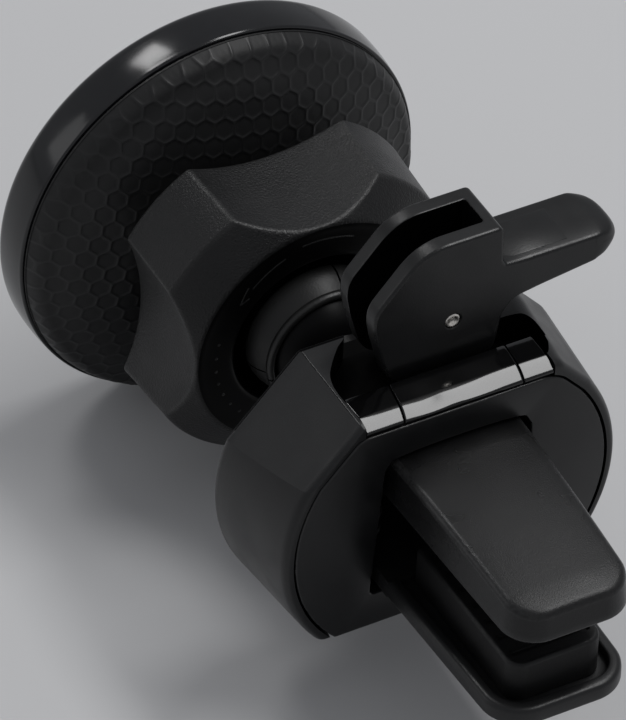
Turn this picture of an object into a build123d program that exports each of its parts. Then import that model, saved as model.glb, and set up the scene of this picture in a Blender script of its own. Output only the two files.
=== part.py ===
from build123d import *
import math
import os

# ---------------------------------------------------------------------------
# Magnetic car phone mount for an air vent.
# Millimetres.  +Y runs out of the clip towards the vent, +Z is up, and the
# origin is on the clip's front plate, level with the middle of the vent jaws.
# The phone disc faces -Y.
# ---------------------------------------------------------------------------

# phone disc
Z_HEAD = 0.32            # height of the disc, nut and ball axis
R_DISC = 28.0            # widest radius of the glossy rim
Y_FACE = -67.0           # face that the phone rests on
Y_RIM_FRONT = -66.5
Y_RIM_WIDE = -64.7
Y_RIM_BACK = -59.6       # rim / back cover joint
R_RIM_BACK = 27.95
R_PAD = 25.9
PAD_T = 1.1
DOME = [(-59.6, 27.65), (-58.3, 27.0), (-56.9, 25.4), (-55.6, 23.0), (-54.3, 19.6),
        (-53.2, 16.0), (-52.6, 13.2), (-52.4, 11.5)]      # (y, r) of the back cover
COVER_T = 1.5

# ring magnets
MAG_N = 16
MAG_RI, MAG_RO = 21.6, 25.4
MAG_T = 2.2
HEAD_SCREW_PCR = 13.0

# ball joint
R_BALL = 8.5             # standard 17 mm ball
Y_BALL = -35.0
BALL_GAP = 0.08
R_NECK = 4.0
R_LIP = 8.9              # rolled lip of the collet
R_CLAW = 9.6

# lock nut
NUT_REAR, NUT_CREASE, NUT_FRONT = -49.0, -38.0, -34.1
R_NUT_REAR, R_NUT_CREASE, R_NUT_FRONT = 21.7, 21.1, 16.7
R_NUT_HOLE = 11.3
SCALLOP_R, SCALLOP_AT = 28.4, 45.2
THREAD_R = 11.15
THREAD_GAP = 0.08

# clip housing
Z_BODY = -1.16           # centre of the round housing
R_REAR, Y_REAR = 24.0, -15.4
R_FRONT = 22.75
Y_BACK = -19.0           # flat back of the housing
BACK_IN = 3.6            # how far the back chamfer comes in
Y_SEAM = -5.6            # front shell / rear shell joint
TOP_Z = 17.4
BOT_Z = -16.0
FACET = [(13.1, 17.4), (20.85, 8.75)]
R_PLATE = 21.3           # front plate
PLATE_T = 2.2
PLATE_TOP, PLATE_BOT = 15.45, -16.0
GROOVE = 0.25
CAV_X, CAV_Z0, CAV_Z1 = 13.2, -13.4, 11.4    # inner cavity
CAV_Y0, CAV_Y1 = -16.2, -2.5

# cam recess in the top of the housing
RECESS_Z = 13.65
STRIP_Y = -5.8           # rear edge of the glossy strip
XJ = -0.35               # centre line of the jaws and opening

# lever
PIN_X, PIN_Y, PIN_Z = -2.66, -11.25, 22.65
PIN_R = 1.05
PIN_GAP = 0.05
CHEEK_T = 2.1
LEVER_Y1 = -6.9          # outer face nearest the jaws
LEVER_Y0 = -15.6
SLOT_W = LEVER_Y1 - LEVER_Y0 - 2 * CHEEK_T
FLIP_DEG = 132.0
LIFT = 3.78              # jaw travel over the whole flip

# draw bar
BAR_T = SLOT_W - 0.6
BAR_HALF = 2.9

# jaws
UJ_Y = 29.2
UJ_Z0 = 3.9
LJ_Y = 28.6
LJ_TOP, LJ_BOT = -7.4, -9.9
PAD_TOP = -2.8


def yplane(y, z=0.0, x=0.0):
    """Sketch plane facing -Y at the given y: local x is +X, local y is +Z."""
    return Plane(origin=(x, y, z), x_dir=(1, 0, 0), z_dir=(0, -1, 0))


HEAD_P = Plane(origin=(0, 0, Z_HEAD), x_dir=(0, 1, 0), z_dir=(1, 0, 0))
BODY_P = Plane(origin=(0, 0, Z_BODY), x_dir=(0, 1, 0), z_dir=(1, 0, 0))
HEAD_AX = Axis((0, 0, Z_HEAD), (0, 1, 0))
BODY_AX = Axis((0, 0, Z_BODY), (0, 1, 0))


def facet_poly(inset=0.0, top=TOP_Z, bot=BOT_Z, big=40.0):
    """Corner points, in x and z, of the flats that trim the round housing."""
    (x1, z1), (x2, z2) = FACET
    n = math.hypot(x2 - x1, z2 - z1)
    nx, nz = (z1 - z2) / n, (x2 - x1) / n
    d = nx * x1 + nz * z1 - inset
    t = top - (inset if top == TOP_Z else 0.0)
    b = bot + (inset if bot == BOT_Z else 0.0)
    xa = (d - nz * t) / nx
    zb = (d - nx * big) / nz
    return [(-big, b), (big, b), (big, zb), (xa, t), (-xa, t), (-big, zb)]


# =========================== phone disc ====================================
with BuildPart() as phone_pad:
    with BuildSketch(yplane(Y_FACE, Z_HEAD)):
        Circle(R_PAD)
    extrude(amount=-PAD_T)
    fillet(phone_pad.faces().sort_by(Axis.Y)[0].edges(), 0.35)

with BuildPart() as front_shell:
    with BuildSketch(HEAD_P):
        with BuildLine():
            Polyline((Y_RIM_BACK, R_RIM_BACK), (Y_RIM_BACK, 26.3), (Y_RIM_FRONT + 2.2, 26.3),
                     (Y_RIM_FRONT + 2.2, 0), (Y_FACE + PAD_T, 0), (Y_FACE + PAD_T, R_PAD + 0.1),
                     (Y_RIM_FRONT, R_PAD + 0.1), (Y_RIM_FRONT, 26.6))
            ThreePointArc((Y_RIM_FRONT, 26.6), (Y_RIM_FRONT + 0.6, 27.6), (Y_RIM_WIDE, R_DISC))
            Line((Y_RIM_WIDE, R_DISC), (Y_RIM_BACK, R_RIM_BACK))
        make_face()
    revolve(axis=HEAD_AX)

with BuildPart() as back_cover:
    with BuildSketch(HEAD_P):
        with BuildLine():
            Spline(*DOME)
            Polyline(DOME[-1], (DOME[-1][0] - COVER_T, DOME[-1][1]), (DOME[-1][0] - COVER_T, 13.2))
            Spline((DOME[-1][0] - COVER_T, 13.2), (-54.9, 16.6), (-56.0, 20.2), (-57.6, 23.4), (-59.6, 25.6))
            Line((-59.6, 25.6), DOME[0])
        make_face()
    revolve(axis=HEAD_AX)

with BuildPart() as magnet_holder:
    with BuildSketch(HEAD_P):
        with BuildLine():
            Polyline((-64.2, 0), (-64.2, MAG_RI - 0.15), (-60.4, MAG_RI - 0.15), (-60.4, 24.6),
                     (-59.6, 24.6), (-59.6, 15.4), (-57.22, 15.4), (-57.22, 0), close=True)
        make_face()
    revolve(axis=HEAD_AX)
    with BuildSketch(yplane(-64.2, Z_HEAD)):
        Circle(19.0)
        Circle(16.0, mode=Mode.SUBTRACT)
    extrude(amount=-3.0, mode=Mode.SUBTRACT)
    with BuildSketch(yplane(-64.2, Z_HEAD)):
        Circle(10.0)
    extrude(amount=-3.0, mode=Mode.SUBTRACT)
    with BuildSketch(yplane(-57.2, Z_HEAD)):
        with PolarLocations(HEAD_SCREW_PCR, 3, start_angle=90):
            Circle(1.0)
    extrude(amount=4.0, mode=Mode.SUBTRACT)

with BuildPart() as ring_magnets:
    with BuildSketch(yplane(-64.2, Z_HEAD)):
        Circle(MAG_RO)
        Circle(MAG_RI, mode=Mode.SUBTRACT)
        with PolarLocations(MAG_RO, MAG_N):
            Rectangle(14, 0.5, mode=Mode.SUBTRACT)
    extrude(amount=-MAG_T)

with BuildPart() as yoke_ring:
    with BuildSketch(yplane(-64.2 + MAG_T, Z_HEAD)):
        Circle(MAG_RO)
        Circle(MAG_RI, mode=Mode.SUBTRACT)
    extrude(amount=-0.8)

# collet: threaded barrel with a flange inside the disc and three spring claws
R_SEAT = R_BALL + BALL_GAP
Y_LIP = Y_BALL + 5.2
with BuildPart() as socket_collet:
    with BuildSketch(HEAD_P):
        with BuildLine():
            Polyline((-57.2, 0), (-57.2, 15.0), (-55.7, 15.0), (-55.7, THREAD_R), (-41.0, THREAD_R),
                     (-38.4, R_CLAW + 0.1), (-35.6, R_CLAW))
            Spline((-35.6, R_CLAW), (-33.6, 9.3), (-32.0, 8.75))
            Spline((-32.0, 8.75), (-31.2, 8.72), (-30.5, R_LIP), (-29.9, 8.6), (-29.7, 7.9),
                   (Y_LIP, 7.15))
            Line((Y_LIP, 7.15), (Y_LIP, 0))
            Line((Y_LIP, 0), (-57.2, 0))
        make_face()
    revolve(axis=HEAD_AX)
    with Locations((0, Y_BALL, Z_HEAD)):
        Sphere(R_SEAT, mode=Mode.SUBTRACT)
    # mouth in front of the ball and the pocket behind it for pad and washer
    with BuildSketch(HEAD_P):
        with BuildLine():
            Polyline((Y_BALL, 0), (Y_LIP + 0.5, 0), (Y_LIP + 0.5, 7.3), (Y_BALL + 5.0, 6.97), close=True)
        make_face()
    revolve(axis=HEAD_AX, mode=Mode.SUBTRACT)
    with BuildSketch(HEAD_P):
        with BuildLine():
            a1 = math.radians(50.0)
            rp = 10.4
            Line((Y_BALL, 0), (Y_BALL - rp, 0))
            ThreePointArc((Y_BALL - rp, 0),
                          (Y_BALL - rp * math.cos(a1 / 2), rp * math.sin(a1 / 2)),
                          (Y_BALL - rp * math.cos(a1), rp * math.sin(a1)))
            Line((Y_BALL - rp * math.cos(a1), rp * math.sin(a1)), (Y_BALL, 0))
        make_face()
    revolve(axis=HEAD_AX, mode=Mode.SUBTRACT)
    with BuildSketch(yplane(-49.0, Z_HEAD)):
        Circle(7.5)
    extrude(amount=9.0, mode=Mode.SUBTRACT)
    # three slits between the claws
    with BuildSketch(yplane(-41.5, Z_HEAD)):
        with PolarLocations(9.0, 3, start_angle=-15):
            Rectangle(9.0, 0.4)
    extrude(amount=-14.0, mode=Mode.SUBTRACT)
    with BuildSketch(yplane(-57.3, Z_HEAD)):
        with PolarLocations(HEAD_SCREW_PCR, 3, start_angle=90):
            Circle(1.15)
    extrude(amount=-2.0, mode=Mode.SUBTRACT)

with BuildPart() as head_screws:
    with BuildSketch(yplane(-55.68, Z_HEAD)):
        with PolarLocations(HEAD_SCREW_PCR, 3, start_angle=90):
            Circle(1.7)
    extrude(amount=-0.9)
    with BuildSketch(yplane(-55.6, Z_HEAD)):
        with PolarLocations(HEAD_SCREW_PCR, 3, start_angle=90):
            Circle(0.98)
    extrude(amount=4.1)
    with BuildSketch(yplane(-54.78, Z_HEAD)):
        with PolarLocations(HEAD_SCREW_PCR, 3, start_angle=90):
            Rectangle(2.2, 0.5)
            Rectangle(0.5, 2.2)
    extrude(amount=0.5, mode=Mode.SUBTRACT)

with BuildPart() as ball_seat_pad:
    with BuildSketch(HEAD_P):
        with BuildLine():
            r0, r1, a2 = R_BALL + 0.12, 9.55, math.radians(31.0)
            Line((Y_BALL - r0, 0), (Y_BALL - r1, 0))
            ThreePointArc((Y_BALL - r1, 0), (Y_BALL - r1 * math.cos(a2 / 2), r1 * math.sin(a2 / 2)),
                          (Y_BALL - r1 * math.cos(a2), r1 * math.sin(a2)))
            Line((Y_BALL - r1 * math.cos(a2), r1 * math.sin(a2)),
                 (Y_BALL - r0 * math.cos(a2), r0 * math.sin(a2)))
            ThreePointArc((Y_BALL - r0 * math.cos(a2), r0 * math.sin(a2)),
                          (Y_BALL - r0 * math.cos(a2 / 2), r0 * math.sin(a2 / 2)), (Y_BALL - r0, 0))
        make_face()
    revolve(axis=HEAD_AX)

with BuildPart() as spring_washer:
    with BuildSketch(HEAD_P):
        with BuildLine():
            r2, r3, a3, a4 = 9.65, 10.15, math.radians(10.0), math.radians(30.0)
            am = (a3 + a4) / 2
            ThreePointArc((Y_BALL - r3 * math.cos(a3), r3 * math.sin(a3)),
                          (Y_BALL - r3 * math.cos(am), r3 * math.sin(am)),
                          (Y_BALL - r3 * math.cos(a4), r3 * math.sin(a4)))
            Line((Y_BALL - r3 * math.cos(a4), r3 * math.sin(a4)),
                 (Y_BALL - r2 * math.cos(a4), r2 * math.sin(a4)))
            ThreePointArc((Y_BALL - r2 * math.cos(a4), r2 * math.sin(a4)),
                          (Y_BALL - r2 * math.cos(am), r2 * math.sin(am)),
                          (Y_BALL - r2 * math.cos(a3), r2 * math.sin(a3)))
            Line((Y_BALL - r2 * math.cos(a3), r2 * math.sin(a3)),
                 (Y_BALL - r3 * math.cos(a3), r3 * math.sin(a3)))
        make_face()
    revolve(axis=HEAD_AX)

# =========================== lock nut ======================================
with BuildPart() as lock_nut:
    with BuildSketch(HEAD_P):
        with BuildLine():
            Polyline((NUT_REAR, THREAD_R + THREAD_GAP), (NUT_REAR, R_NUT_REAR), (NUT_CREASE, R_NUT_CREASE),
                     (NUT_FRONT, R_NUT_FRONT), (NUT_FRONT, R_NUT_HOLE), (-35.2, R_NUT_HOLE - 0.2),
                     (-37.6, 10.0), (-38.4, 10.0), (-41.0, THREAD_R + THREAD_GAP), close=True)
        make_face()
    revolve(axis=HEAD_AX)
    with BuildSketch(yplane(NUT_FRONT + 1, Z_HEAD)):
        with PolarLocations(SCALLOP_AT, 4):
            Circle(SCALLOP_R)
    extrude(amount=20.0, mode=Mode.SUBTRACT)
    with BuildSketch(yplane(NUT_REAR, Z_HEAD)):
        Circle(15.0)
        Circle(12.8, mode=Mode.SUBTRACT)
    extrude(amount=-7.5, mode=Mode.SUBTRACT)

# =========================== clip housing ==================================
with BuildPart() as rear_housing:
    with BuildSketch(BODY_P):
        with BuildLine():
            rs = R_REAR + (R_FRONT - R_REAR) * (Y_SEAM - Y_REAR) / (0 - Y_REAR)
            Polyline((Y_REAR, 0), (Y_REAR, R_REAR), (Y_SEAM, rs), (Y_SEAM, 0), close=True)
        make_face()
    revolve(axis=BODY_AX)
    with BuildSketch(yplane(Y_SEAM)):
        Polygon(*facet_poly(), align=None)
    extrude(amount=Y_SEAM - Y_REAR, mode=Mode.INTERSECT)
    # chamfered back
    with BuildSketch(yplane(Y_REAR)):
        with Locations((0, Z_BODY)):
            Circle(R_REAR)
        Polygon(*facet_poly(), align=None, mode=Mode.INTERSECT)
    with BuildSketch(yplane(Y_BACK)):
        with Locations((0, Z_BODY)):
            Circle(R_REAR - BACK_IN)
        Polygon(*facet_poly(BACK_IN), align=None, mode=Mode.INTERSECT)
    loft(ruled=True)
    # cavity for the draw bar and jaw carriage
    with BuildSketch(yplane(Y_SEAM + 1)):
        with Locations((XJ, (CAV_Z0 + CAV_Z1) / 2)):
            RectangleRounded(2 * CAV_X, CAV_Z1 - CAV_Z0, 2.0)
    extrude(amount=Y_SEAM + 1 - CAV_Y0, mode=Mode.SUBTRACT)
    # recess for the cam lever, open at the back in the middle
    with BuildSketch(Plane.XY.offset(RECESS_Z - 1.25)) as rec:
        with BuildLine():
            Polyline((14.2, Y_SEAM + 1), (13.6, -7.5), (12.4, -10.6), (10.4, -13.2), (8.0, -15.2),
                     (7.6, -20.0), (-10.6, -20.0), (-10.6, -9.9), (-13.0, -9.5), (-14.4, -8.8), (-15.1, -7.6),
                     (-15.3, Y_SEAM + 1), close=True)
        make_face()
    extrude(amount=10.0, mode=Mode.SUBTRACT)
    # draw bar slot through the recess floor
    with BuildSketch(Plane.XY.offset(CAV_Z1 - 1)):
        with Locations((PIN_X, PIN_Y)):
            Rectangle(2 * BAR_HALF + 0.8, BAR_T + 0.8)
    extrude(amount=6.0, mode=Mode.SUBTRACT)
    # seat for the ball stud and holes for the screws from the back
    with BuildSketch(yplane(Y_BACK, Z_HEAD)):
        Circle(2.0)
    extrude(amount=-6.0, mode=Mode.SUBTRACT)
    with BuildSketch(yplane(Y_BACK)):
        with Locations((15.0, 4.0), (-15.0, 4.0), (14.6, -8.6), (-14.6, -8.6)):
            Circle(1.15)
    extrude(amount=-20.0, mode=Mode.SUBTRACT)
    with BuildSketch(yplane(Y_BACK)):
        with Locations((15.0, 4.0), (-15.0, 4.0), (14.6, -8.6), (-14.6, -8.6)):
            Circle(2.2)
    extrude(amount=-2.4, mode=Mode.SUBTRACT)

with BuildPart() as front_housing:
    with BuildSketch(BODY_P):
        with BuildLine():
            Polyline((Y_SEAM, 0), (Y_SEAM, rs), (-0.9, R_FRONT + 0.07))
            ThreePointArc((-0.9, R_FRONT + 0.07), (-0.27, R_FRONT - 0.17), (0.0, R_FRONT - 0.8))
            Polyline((0.0, R_FRONT - 0.8), (0.0, 0), (Y_SEAM, 0))
        make_face()
    revolve(axis=BODY_AX)
    with BuildSketch(yplane(0.5)):
        Polygon(*facet_poly(), align=None)
    extrude(amount=8.0, mode=Mode.INTERSECT)
    with BuildSketch(yplane(0.5)):
        with Locations((0, Z_BODY)):
            Circle(R_PLATE + GROOVE)
        Polygon(*facet_poly(1.0, top=PLATE_TOP + GROOVE, bot=BOT_Z - 1), align=None, mode=Mode.INTERSECT)
    extrude(amount=0.5 + PLATE_T + 0.02, mode=Mode.SUBTRACT)
    with BuildSketch(yplane(0.5)):
        with Locations((XJ, (CAV_Z0 + CAV_Z1) / 2)):
            RectangleRounded(2 * CAV_X, CAV_Z1 - CAV_Z0, 2.0)
    extrude(amount=8.0, mode=Mode.SUBTRACT)
    # room for the glossy top trim
    with BuildSketch(Plane.XY.offset(PLATE_TOP + GROOVE - 3.0)):
        with Locations((0, -2.4)):
            Rectangle(2 * 12.6, 8.0)
    extrude(amount=8.0, mode=Mode.SUBTRACT)
    with BuildSketch(Plane.XY.offset(RECESS_Z - 1.25)):
        with BuildLine():
            Polyline((13.4, Y_SEAM - 1), (13.3, -4.9), (-14.6, -4.9), (-15.0, Y_SEAM - 1), close=True)
        make_face()
    extrude(amount=10.0, mode=Mode.SUBTRACT)
    with BuildSketch(yplane(-3.2)):
        with Locations((15.0, 4.0), (-15.0, 4.0), (14.6, -8.6), (-14.6, -8.6)):
            Circle(0.95)
    extrude(amount=6.0, mode=Mode.SUBTRACT)

with BuildPart() as front_plate:
    with BuildSketch(yplane(0.0)):
        with Locations((0, Z_BODY)):
            Circle(R_PLATE)
        Polygon(*facet_poly(1.25, top=PLATE_TOP, bot=BOT_Z), align=None, mode=Mode.INTERSECT)
    extrude(amount=PLATE_T)
    # jaw opening
    with BuildSketch(yplane(1.0)):
        with BuildLine():
            Polyline((XJ + 11.1, -10.8), (XJ + 9.95, 8.9), (XJ + 9.2, 10.2))
            ThreePointArc((XJ + 9.2, 10.2), (XJ, 10.95), (XJ - 9.2, 10.2))
            Polyline((XJ - 9.2, 10.2), (XJ - 9.95, 8.9), (XJ - 11.1, -10.8), (XJ + 11.1, -10.8))
        make_face()
    extrude(amount=6.0, mode=Mode.SUBTRACT)

# glossy trim: two strips at the front edge joined by the tub of the recess
with BuildPart() as top_trim:
    with BuildSketch(Plane.XY.offset(RECESS_Z - 1.2)):
        with BuildLine():
            Polyline((13.3, -4.95), (13.5, -7.6), (12.3, -10.5), (10.3, -13.1), (7.85, -15.1), (7.5, -15.5),
                     (-10.5, -15.5), (-10.5, -9.8), (-12.9, -9.4), (-14.3, -8.7), (-15.0, -7.5),
                     (-14.5, -4.95), close=True)
        make_face()
    extrude(amount=1.2)
    with BuildSketch(Plane.XY.offset(PLATE_TOP + GROOVE - 2.95)):
        with Locations((0, -2.9)):
            Rectangle(2 * 12.45, 5.8)
    extrude(amount=17.15 - (PLATE_TOP + GROOVE - 2.95))
    with BuildSketch(Plane.XY.offset(RECESS_Z)):
        with BuildLine():
            Polyline((7.6, 1.0), (6.3, -7.0), (-9.55, -7.0), (-8.85, 1.0), close=True)
        make_face()
    extrude(amount=6.0, mode=Mode.SUBTRACT)
    # step over the front plate
    with BuildSketch(Plane.XY.offset(PLATE_TOP + GROOVE)):
        with Locations((0, 1.0 - PLATE_T / 2)):
            Rectangle(40, PLATE_T + 2.1)
    extrude(amount=-6.0, mode=Mode.SUBTRACT)
    with BuildSketch(Plane.XY.offset(RECESS_Z - 2)):
        with Locations((PIN_X, PIN_Y)):
            Rectangle(2 * BAR_HALF + 0.8, BAR_T + 0.8)
    extrude(amount=4.0, mode=Mode.SUBTRACT)
    fillet(top_trim.edges().filter_by(Axis.X).filter_by_position(Axis.Z, 17.1, 17.2)
           .filter_by_position(Axis.Y, -0.1, 0.1), 0.9)

with BuildPart() as trim_bridge:
    with BuildSketch(Plane.XY.offset(RECESS_Z + 0.02)):
        with BuildLine():
            Polyline((7.26, 0.0), (6.36, -5.8), (-9.24, -5.8), (-8.74, 0.0), close=True)
        make_face()
    extrude(amount=17.2 - RECESS_Z - 0.02)
    with BuildSketch(Plane.XY.offset(PLATE_TOP + GROOVE)):
        with Locations((0, 1.0 - PLATE_T / 2)):
            Rectangle(40, PLATE_T + 2.1)
    extrude(amount=-6.0, mode=Mode.SUBTRACT)
    fillet(trim_bridge.edges().filter_by_position(Axis.Z, 17.15, 17.25)
           .filter_by_position(Axis.Y, -0.1, 0.1), 1.1)

with BuildPart() as housing_screws:
    with BuildSketch(yplane(Y_BACK + 1.0)):
        with Locations((15.0, 4.0), (-15.0, 4.0), (14.6, -8.6), (-14.6, -8.6)):
            Circle(1.95)
    extrude(amount=-1.35)
    with BuildSketch(yplane(Y_BACK + 2.3)):
        with Locations((15.0, 4.0), (-15.0, 4.0), (14.6, -8.6), (-14.6, -8.6)):
            Circle(0.9)
    extrude(amount=-13.0)
    with BuildSketch(yplane(Y_BACK + 1.0)):
        with Locations((15.0, 4.0), (-15.0, 4.0), (14.6, -8.6), (-14.6, -8.6)):
            Rectangle(2.4, 0.55)
            Rectangle(0.55, 2.4)
    extrude(amount=-0.8, mode=Mode.SUBTRACT)

# ball on its neck, screwed to the back of the housing
with BuildPart() as ball_stud:
    with BuildSketch(HEAD_P):
        with BuildLine():
            yn = Y_BALL + math.sqrt(R_BALL ** 2 - (R_NECK + 0.25) ** 2)
            Line((Y_BALL - R_BALL, 0), (Y_BACK - 0.02, 0))
            Line((Y_BACK - 0.02, 0), (Y_BACK - 0.02, 9.4))
            ThreePointArc((Y_BACK - 0.02, 9.4), (Y_BACK - 1.3, 8.9), (Y_BACK - 2.0, 7.9))
            ThreePointArc((Y_BACK - 2.0, 7.9), (Y_BACK - 2.9, 5.5), (Y_BACK - 5.2, R_NECK))
            Line((Y_BACK - 5.2, R_NECK), (yn + 0.9, R_NECK))
            Line((yn + 0.9, R_NECK), (yn, R_NECK + 0.25))
            ThreePointArc((yn, R_NECK + 0.25), (Y_BALL, R_BALL), (Y_BALL - R_BALL, 0))
        make_face()
    revolve(axis=HEAD_AX)
    with BuildSketch(yplane(Y_BACK - 0.02, Z_HEAD)):
        Circle(1.3)
    extrude(amount=9.0, mode=Mode.SUBTRACT)

with BuildPart() as stud_screw:
    with BuildSketch(yplane(CAV_Y0 + 1.5, Z_HEAD)):
        Circle(2.9)
    extrude(amount=1.48)
    with BuildSketch(yplane(CAV_Y0 + 1.0, Z_HEAD)):
        Circle(1.25)
    extrude(amount=10.5)
    with BuildSketch(yplane(CAV_Y0 + 1.5, Z_HEAD)):
        Rectangle(3.4, 0.8)
        Rectangle(0.8, 3.4)
    extrude(amount=0.8, mode=Mode.SUBTRACT)

# fixed upper jaw: stiff core inside a soft sleeve
with BuildPart() as upper_jaw_core:
    with BuildSketch(Plane.XY.offset(5.4)):
        with BuildLine():
            Polyline((XJ + 7.2, -5.0), (XJ + 6.2, 24.0), (XJ + 3.0, 27.0), (XJ - 3.0, 27.0), (XJ - 6.2, 24.0),
                     (XJ - 7.2, -5.0), close=True)
        make_face()
    extrude(amount=1.9)
    with BuildSketch(Plane.XY.offset(4.6)):
        with Locations((XJ, -3.4)):
            Rectangle(24.0, 1.8)
    extrude(amount=5.6)

with BuildPart() as upper_jaw_sleeve:
    with BuildSketch(yplane(-2.3)):
        with BuildLine():
            Polyline((XJ + 9.35, UJ_Z0), (XJ + 9.0, 9.1), (XJ + 8.3, 10.0))
            ThreePointArc((XJ + 8.3, 10.0), (XJ, 10.55), (XJ - 8.3, 10.0))
            Polyline((XJ - 8.3, 10.0), (XJ - 9.0, 9.1), (XJ - 9.35, UJ_Z0), (XJ + 9.35, UJ_Z0))
        make_face()
    with BuildSketch(yplane(UJ_Y)):
        with BuildLine():
            Polyline((XJ + 8.25, UJ_Z0), (XJ + 7.95, 7.4), (XJ + 7.3, 8.2))
            ThreePointArc((XJ + 7.3, 8.2), (XJ, 8.6), (XJ - 7.3, 8.2))
            Polyline((XJ - 7.3, 8.2), (XJ - 7.95, 7.4), (XJ - 8.25, UJ_Z0), (XJ + 8.25, UJ_Z0))
        make_face()
    loft(ruled=True)
    with BuildSketch(Plane.XY.offset(UJ_Z0 - 1)):
        with BuildLine():
            Polyline((XJ + 12, -4), (XJ + 12, UJ_Y - 5.0), (XJ + 8.6, UJ_Y - 5.0))
            ThreePointArc((XJ + 8.6, UJ_Y - 5.0), (XJ + 6.6, UJ_Y - 1.4), (XJ + 3.6, UJ_Y))
            Line((XJ + 3.6, UJ_Y), (XJ - 3.6, UJ_Y))
            ThreePointArc((XJ - 3.6, UJ_Y), (XJ - 6.6, UJ_Y - 1.4), (XJ - 8.6, UJ_Y - 5.0))
            Polyline((XJ - 8.6, UJ_Y - 5.0), (XJ - 12, UJ_Y - 5.0), (XJ - 12, -4), (XJ + 12, -4))
        make_face()
    extrude(amount=10.0, mode=Mode.INTERSECT)
    with BuildSketch(Plane.XY.offset(5.35)):
        with BuildLine():
            Polyline((XJ + 7.3, -5.0), (XJ + 6.3, 24.1), (XJ + 3.0, 27.1), (XJ - 3.0, 27.1), (XJ - 6.3, 24.1),
                     (XJ - 7.3, -5.0), close=True)
        make_face()
    extrude(amount=2.0, mode=Mode.SUBTRACT)
    # grip ribs across the underside
    with BuildSketch(Plane.XY.offset(UJ_Z0 - 0.05)):
        with GridLocations(1, 3.0, 1, 7):
            with Locations((XJ, 14.0)):
                Rectangle(13.0, 1.2)
    extrude(amount=0.5, mode=Mode.SUBTRACT)

# moving lower jaw
with BuildPart() as lower_jaw:
    with BuildSketch(Plane.XY.offset(LJ_BOT)):
        with BuildLine():
            Polyline((XJ + 10.0, -4.4), (XJ + 9.9, 4.0), (XJ + 9.3, LJ_Y - 5.5))
            ThreePointArc((XJ + 9.3, LJ_Y - 5.5), (XJ + 8.0, LJ_Y - 1.7), (XJ + 4.2, LJ_Y))
            Line((XJ + 4.2, LJ_Y), (XJ - 4.2, LJ_Y))
            ThreePointArc((XJ - 4.2, LJ_Y), (XJ - 8.0, LJ_Y - 1.7), (XJ - 9.3, LJ_Y - 5.5))
            Polyline((XJ - 9.3, LJ_Y - 5.5), (XJ - 9.9, 4.0), (XJ - 10.0, -4.4), (XJ + 10.0, -4.4))
        make_face()
    extrude(amount=LJ_TOP - LJ_BOT)
    with BuildSketch(Plane.XY.offset(LJ_BOT + 1.2)):
        with BuildLine():
            Polyline((XJ + 8.3, 2.0), (XJ + 7.7, LJ_Y - 5.6))
            ThreePointArc((XJ + 7.7, LJ_Y - 5.6), (XJ + 6.8, LJ_Y - 2.9), (XJ + 4.0, LJ_Y - 1.6))
            Line((XJ + 4.0, LJ_Y - 1.6), (XJ - 4.0, LJ_Y - 1.6))
            ThreePointArc((XJ - 4.0, LJ_Y - 1.6), (XJ - 6.8, LJ_Y - 2.9), (XJ - 7.7, LJ_Y - 5.6))
            Polyline((XJ - 7.7, LJ_Y - 5.6), (XJ - 8.3, 2.0), (XJ + 8.3, 2.0))
        make_face()
    extrude(amount=4.0, mode=Mode.SUBTRACT)
    # carriage plate inside the housing, with the foot for the draw bar
    with BuildSketch(Plane.XY.offset(LJ_BOT)):
        with Locations((XJ, -8.6)):
            Rectangle(24.0, 9.6)
    extrude(amount=2.4)
    with BuildSketch(Plane.XY.offset(LJ_BOT - 1)):
        with Locations((PIN_X - 0.0, PIN_Y)):
            Circle(1.1)
    extrude(amount=6.0, mode=Mode.SUBTRACT)

with BuildPart() as lower_jaw_pad:
    with BuildSketch(Plane.XY.offset(LJ_BOT + 1.25)):
        with BuildLine():
            Polyline((XJ + 6.5, 2.6), (XJ + 6.4, LJ_Y - 5.2), (XJ + 4.8, LJ_Y - 3.1), (XJ - 4.8, LJ_Y - 3.1),
                     (XJ - 6.4, LJ_Y - 5.2), (XJ - 6.5, 2.6), close=True)
        make_face()
    extrude(amount=PAD_TOP - LJ_BOT - 1.25)
    fillet(lower_jaw_pad.edges().filter_by(Axis.Z), 0.8)
    fillet(lower_jaw_pad.faces().sort_by(Axis.Z)[-1].edges(), 0.5)
    with BuildSketch(Plane.XY.offset(PAD_TOP + 0.05)):
        with GridLocations(1, 3.0, 1, 7):
            with Locations((XJ, 14.0)):
                Rectangle(10.5, 1.2)
    extrude(amount=-0.55, mode=Mode.SUBTRACT)

# draw bar from the lever pin down to the jaw carriage
with BuildPart() as draw_bar:
    with BuildSketch(yplane(PIN_Y + BAR_T / 2)):
        with Locations((PIN_X, PIN_Z)):
            Circle(BAR_HALF)
        with Locations((PIN_X, (PIN_Z + LJ_BOT + 2.42) / 2)):
            Rectangle(2 * BAR_HALF, PIN_Z - LJ_BOT - 2.42)
        with Locations((PIN_X, LJ_BOT + 2.42 + 1.1)):
            Rectangle(2 * BAR_HALF + 3.0, 2.2)
    extrude(amount=BAR_T)
    with BuildSketch(yplane(PIN_Y + BAR_T)):
        with Locations((PIN_X, PIN_Z)):
            Circle(PIN_R)
    extrude(amount=2 * BAR_T, mode=Mode.SUBTRACT)
    with BuildSketch(Plane.XY.offset(LJ_BOT)):
        with Locations((PIN_X, PIN_Y)):
            Circle(0.95)
    extrude(amount=9.0, mode=Mode.SUBTRACT)

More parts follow.
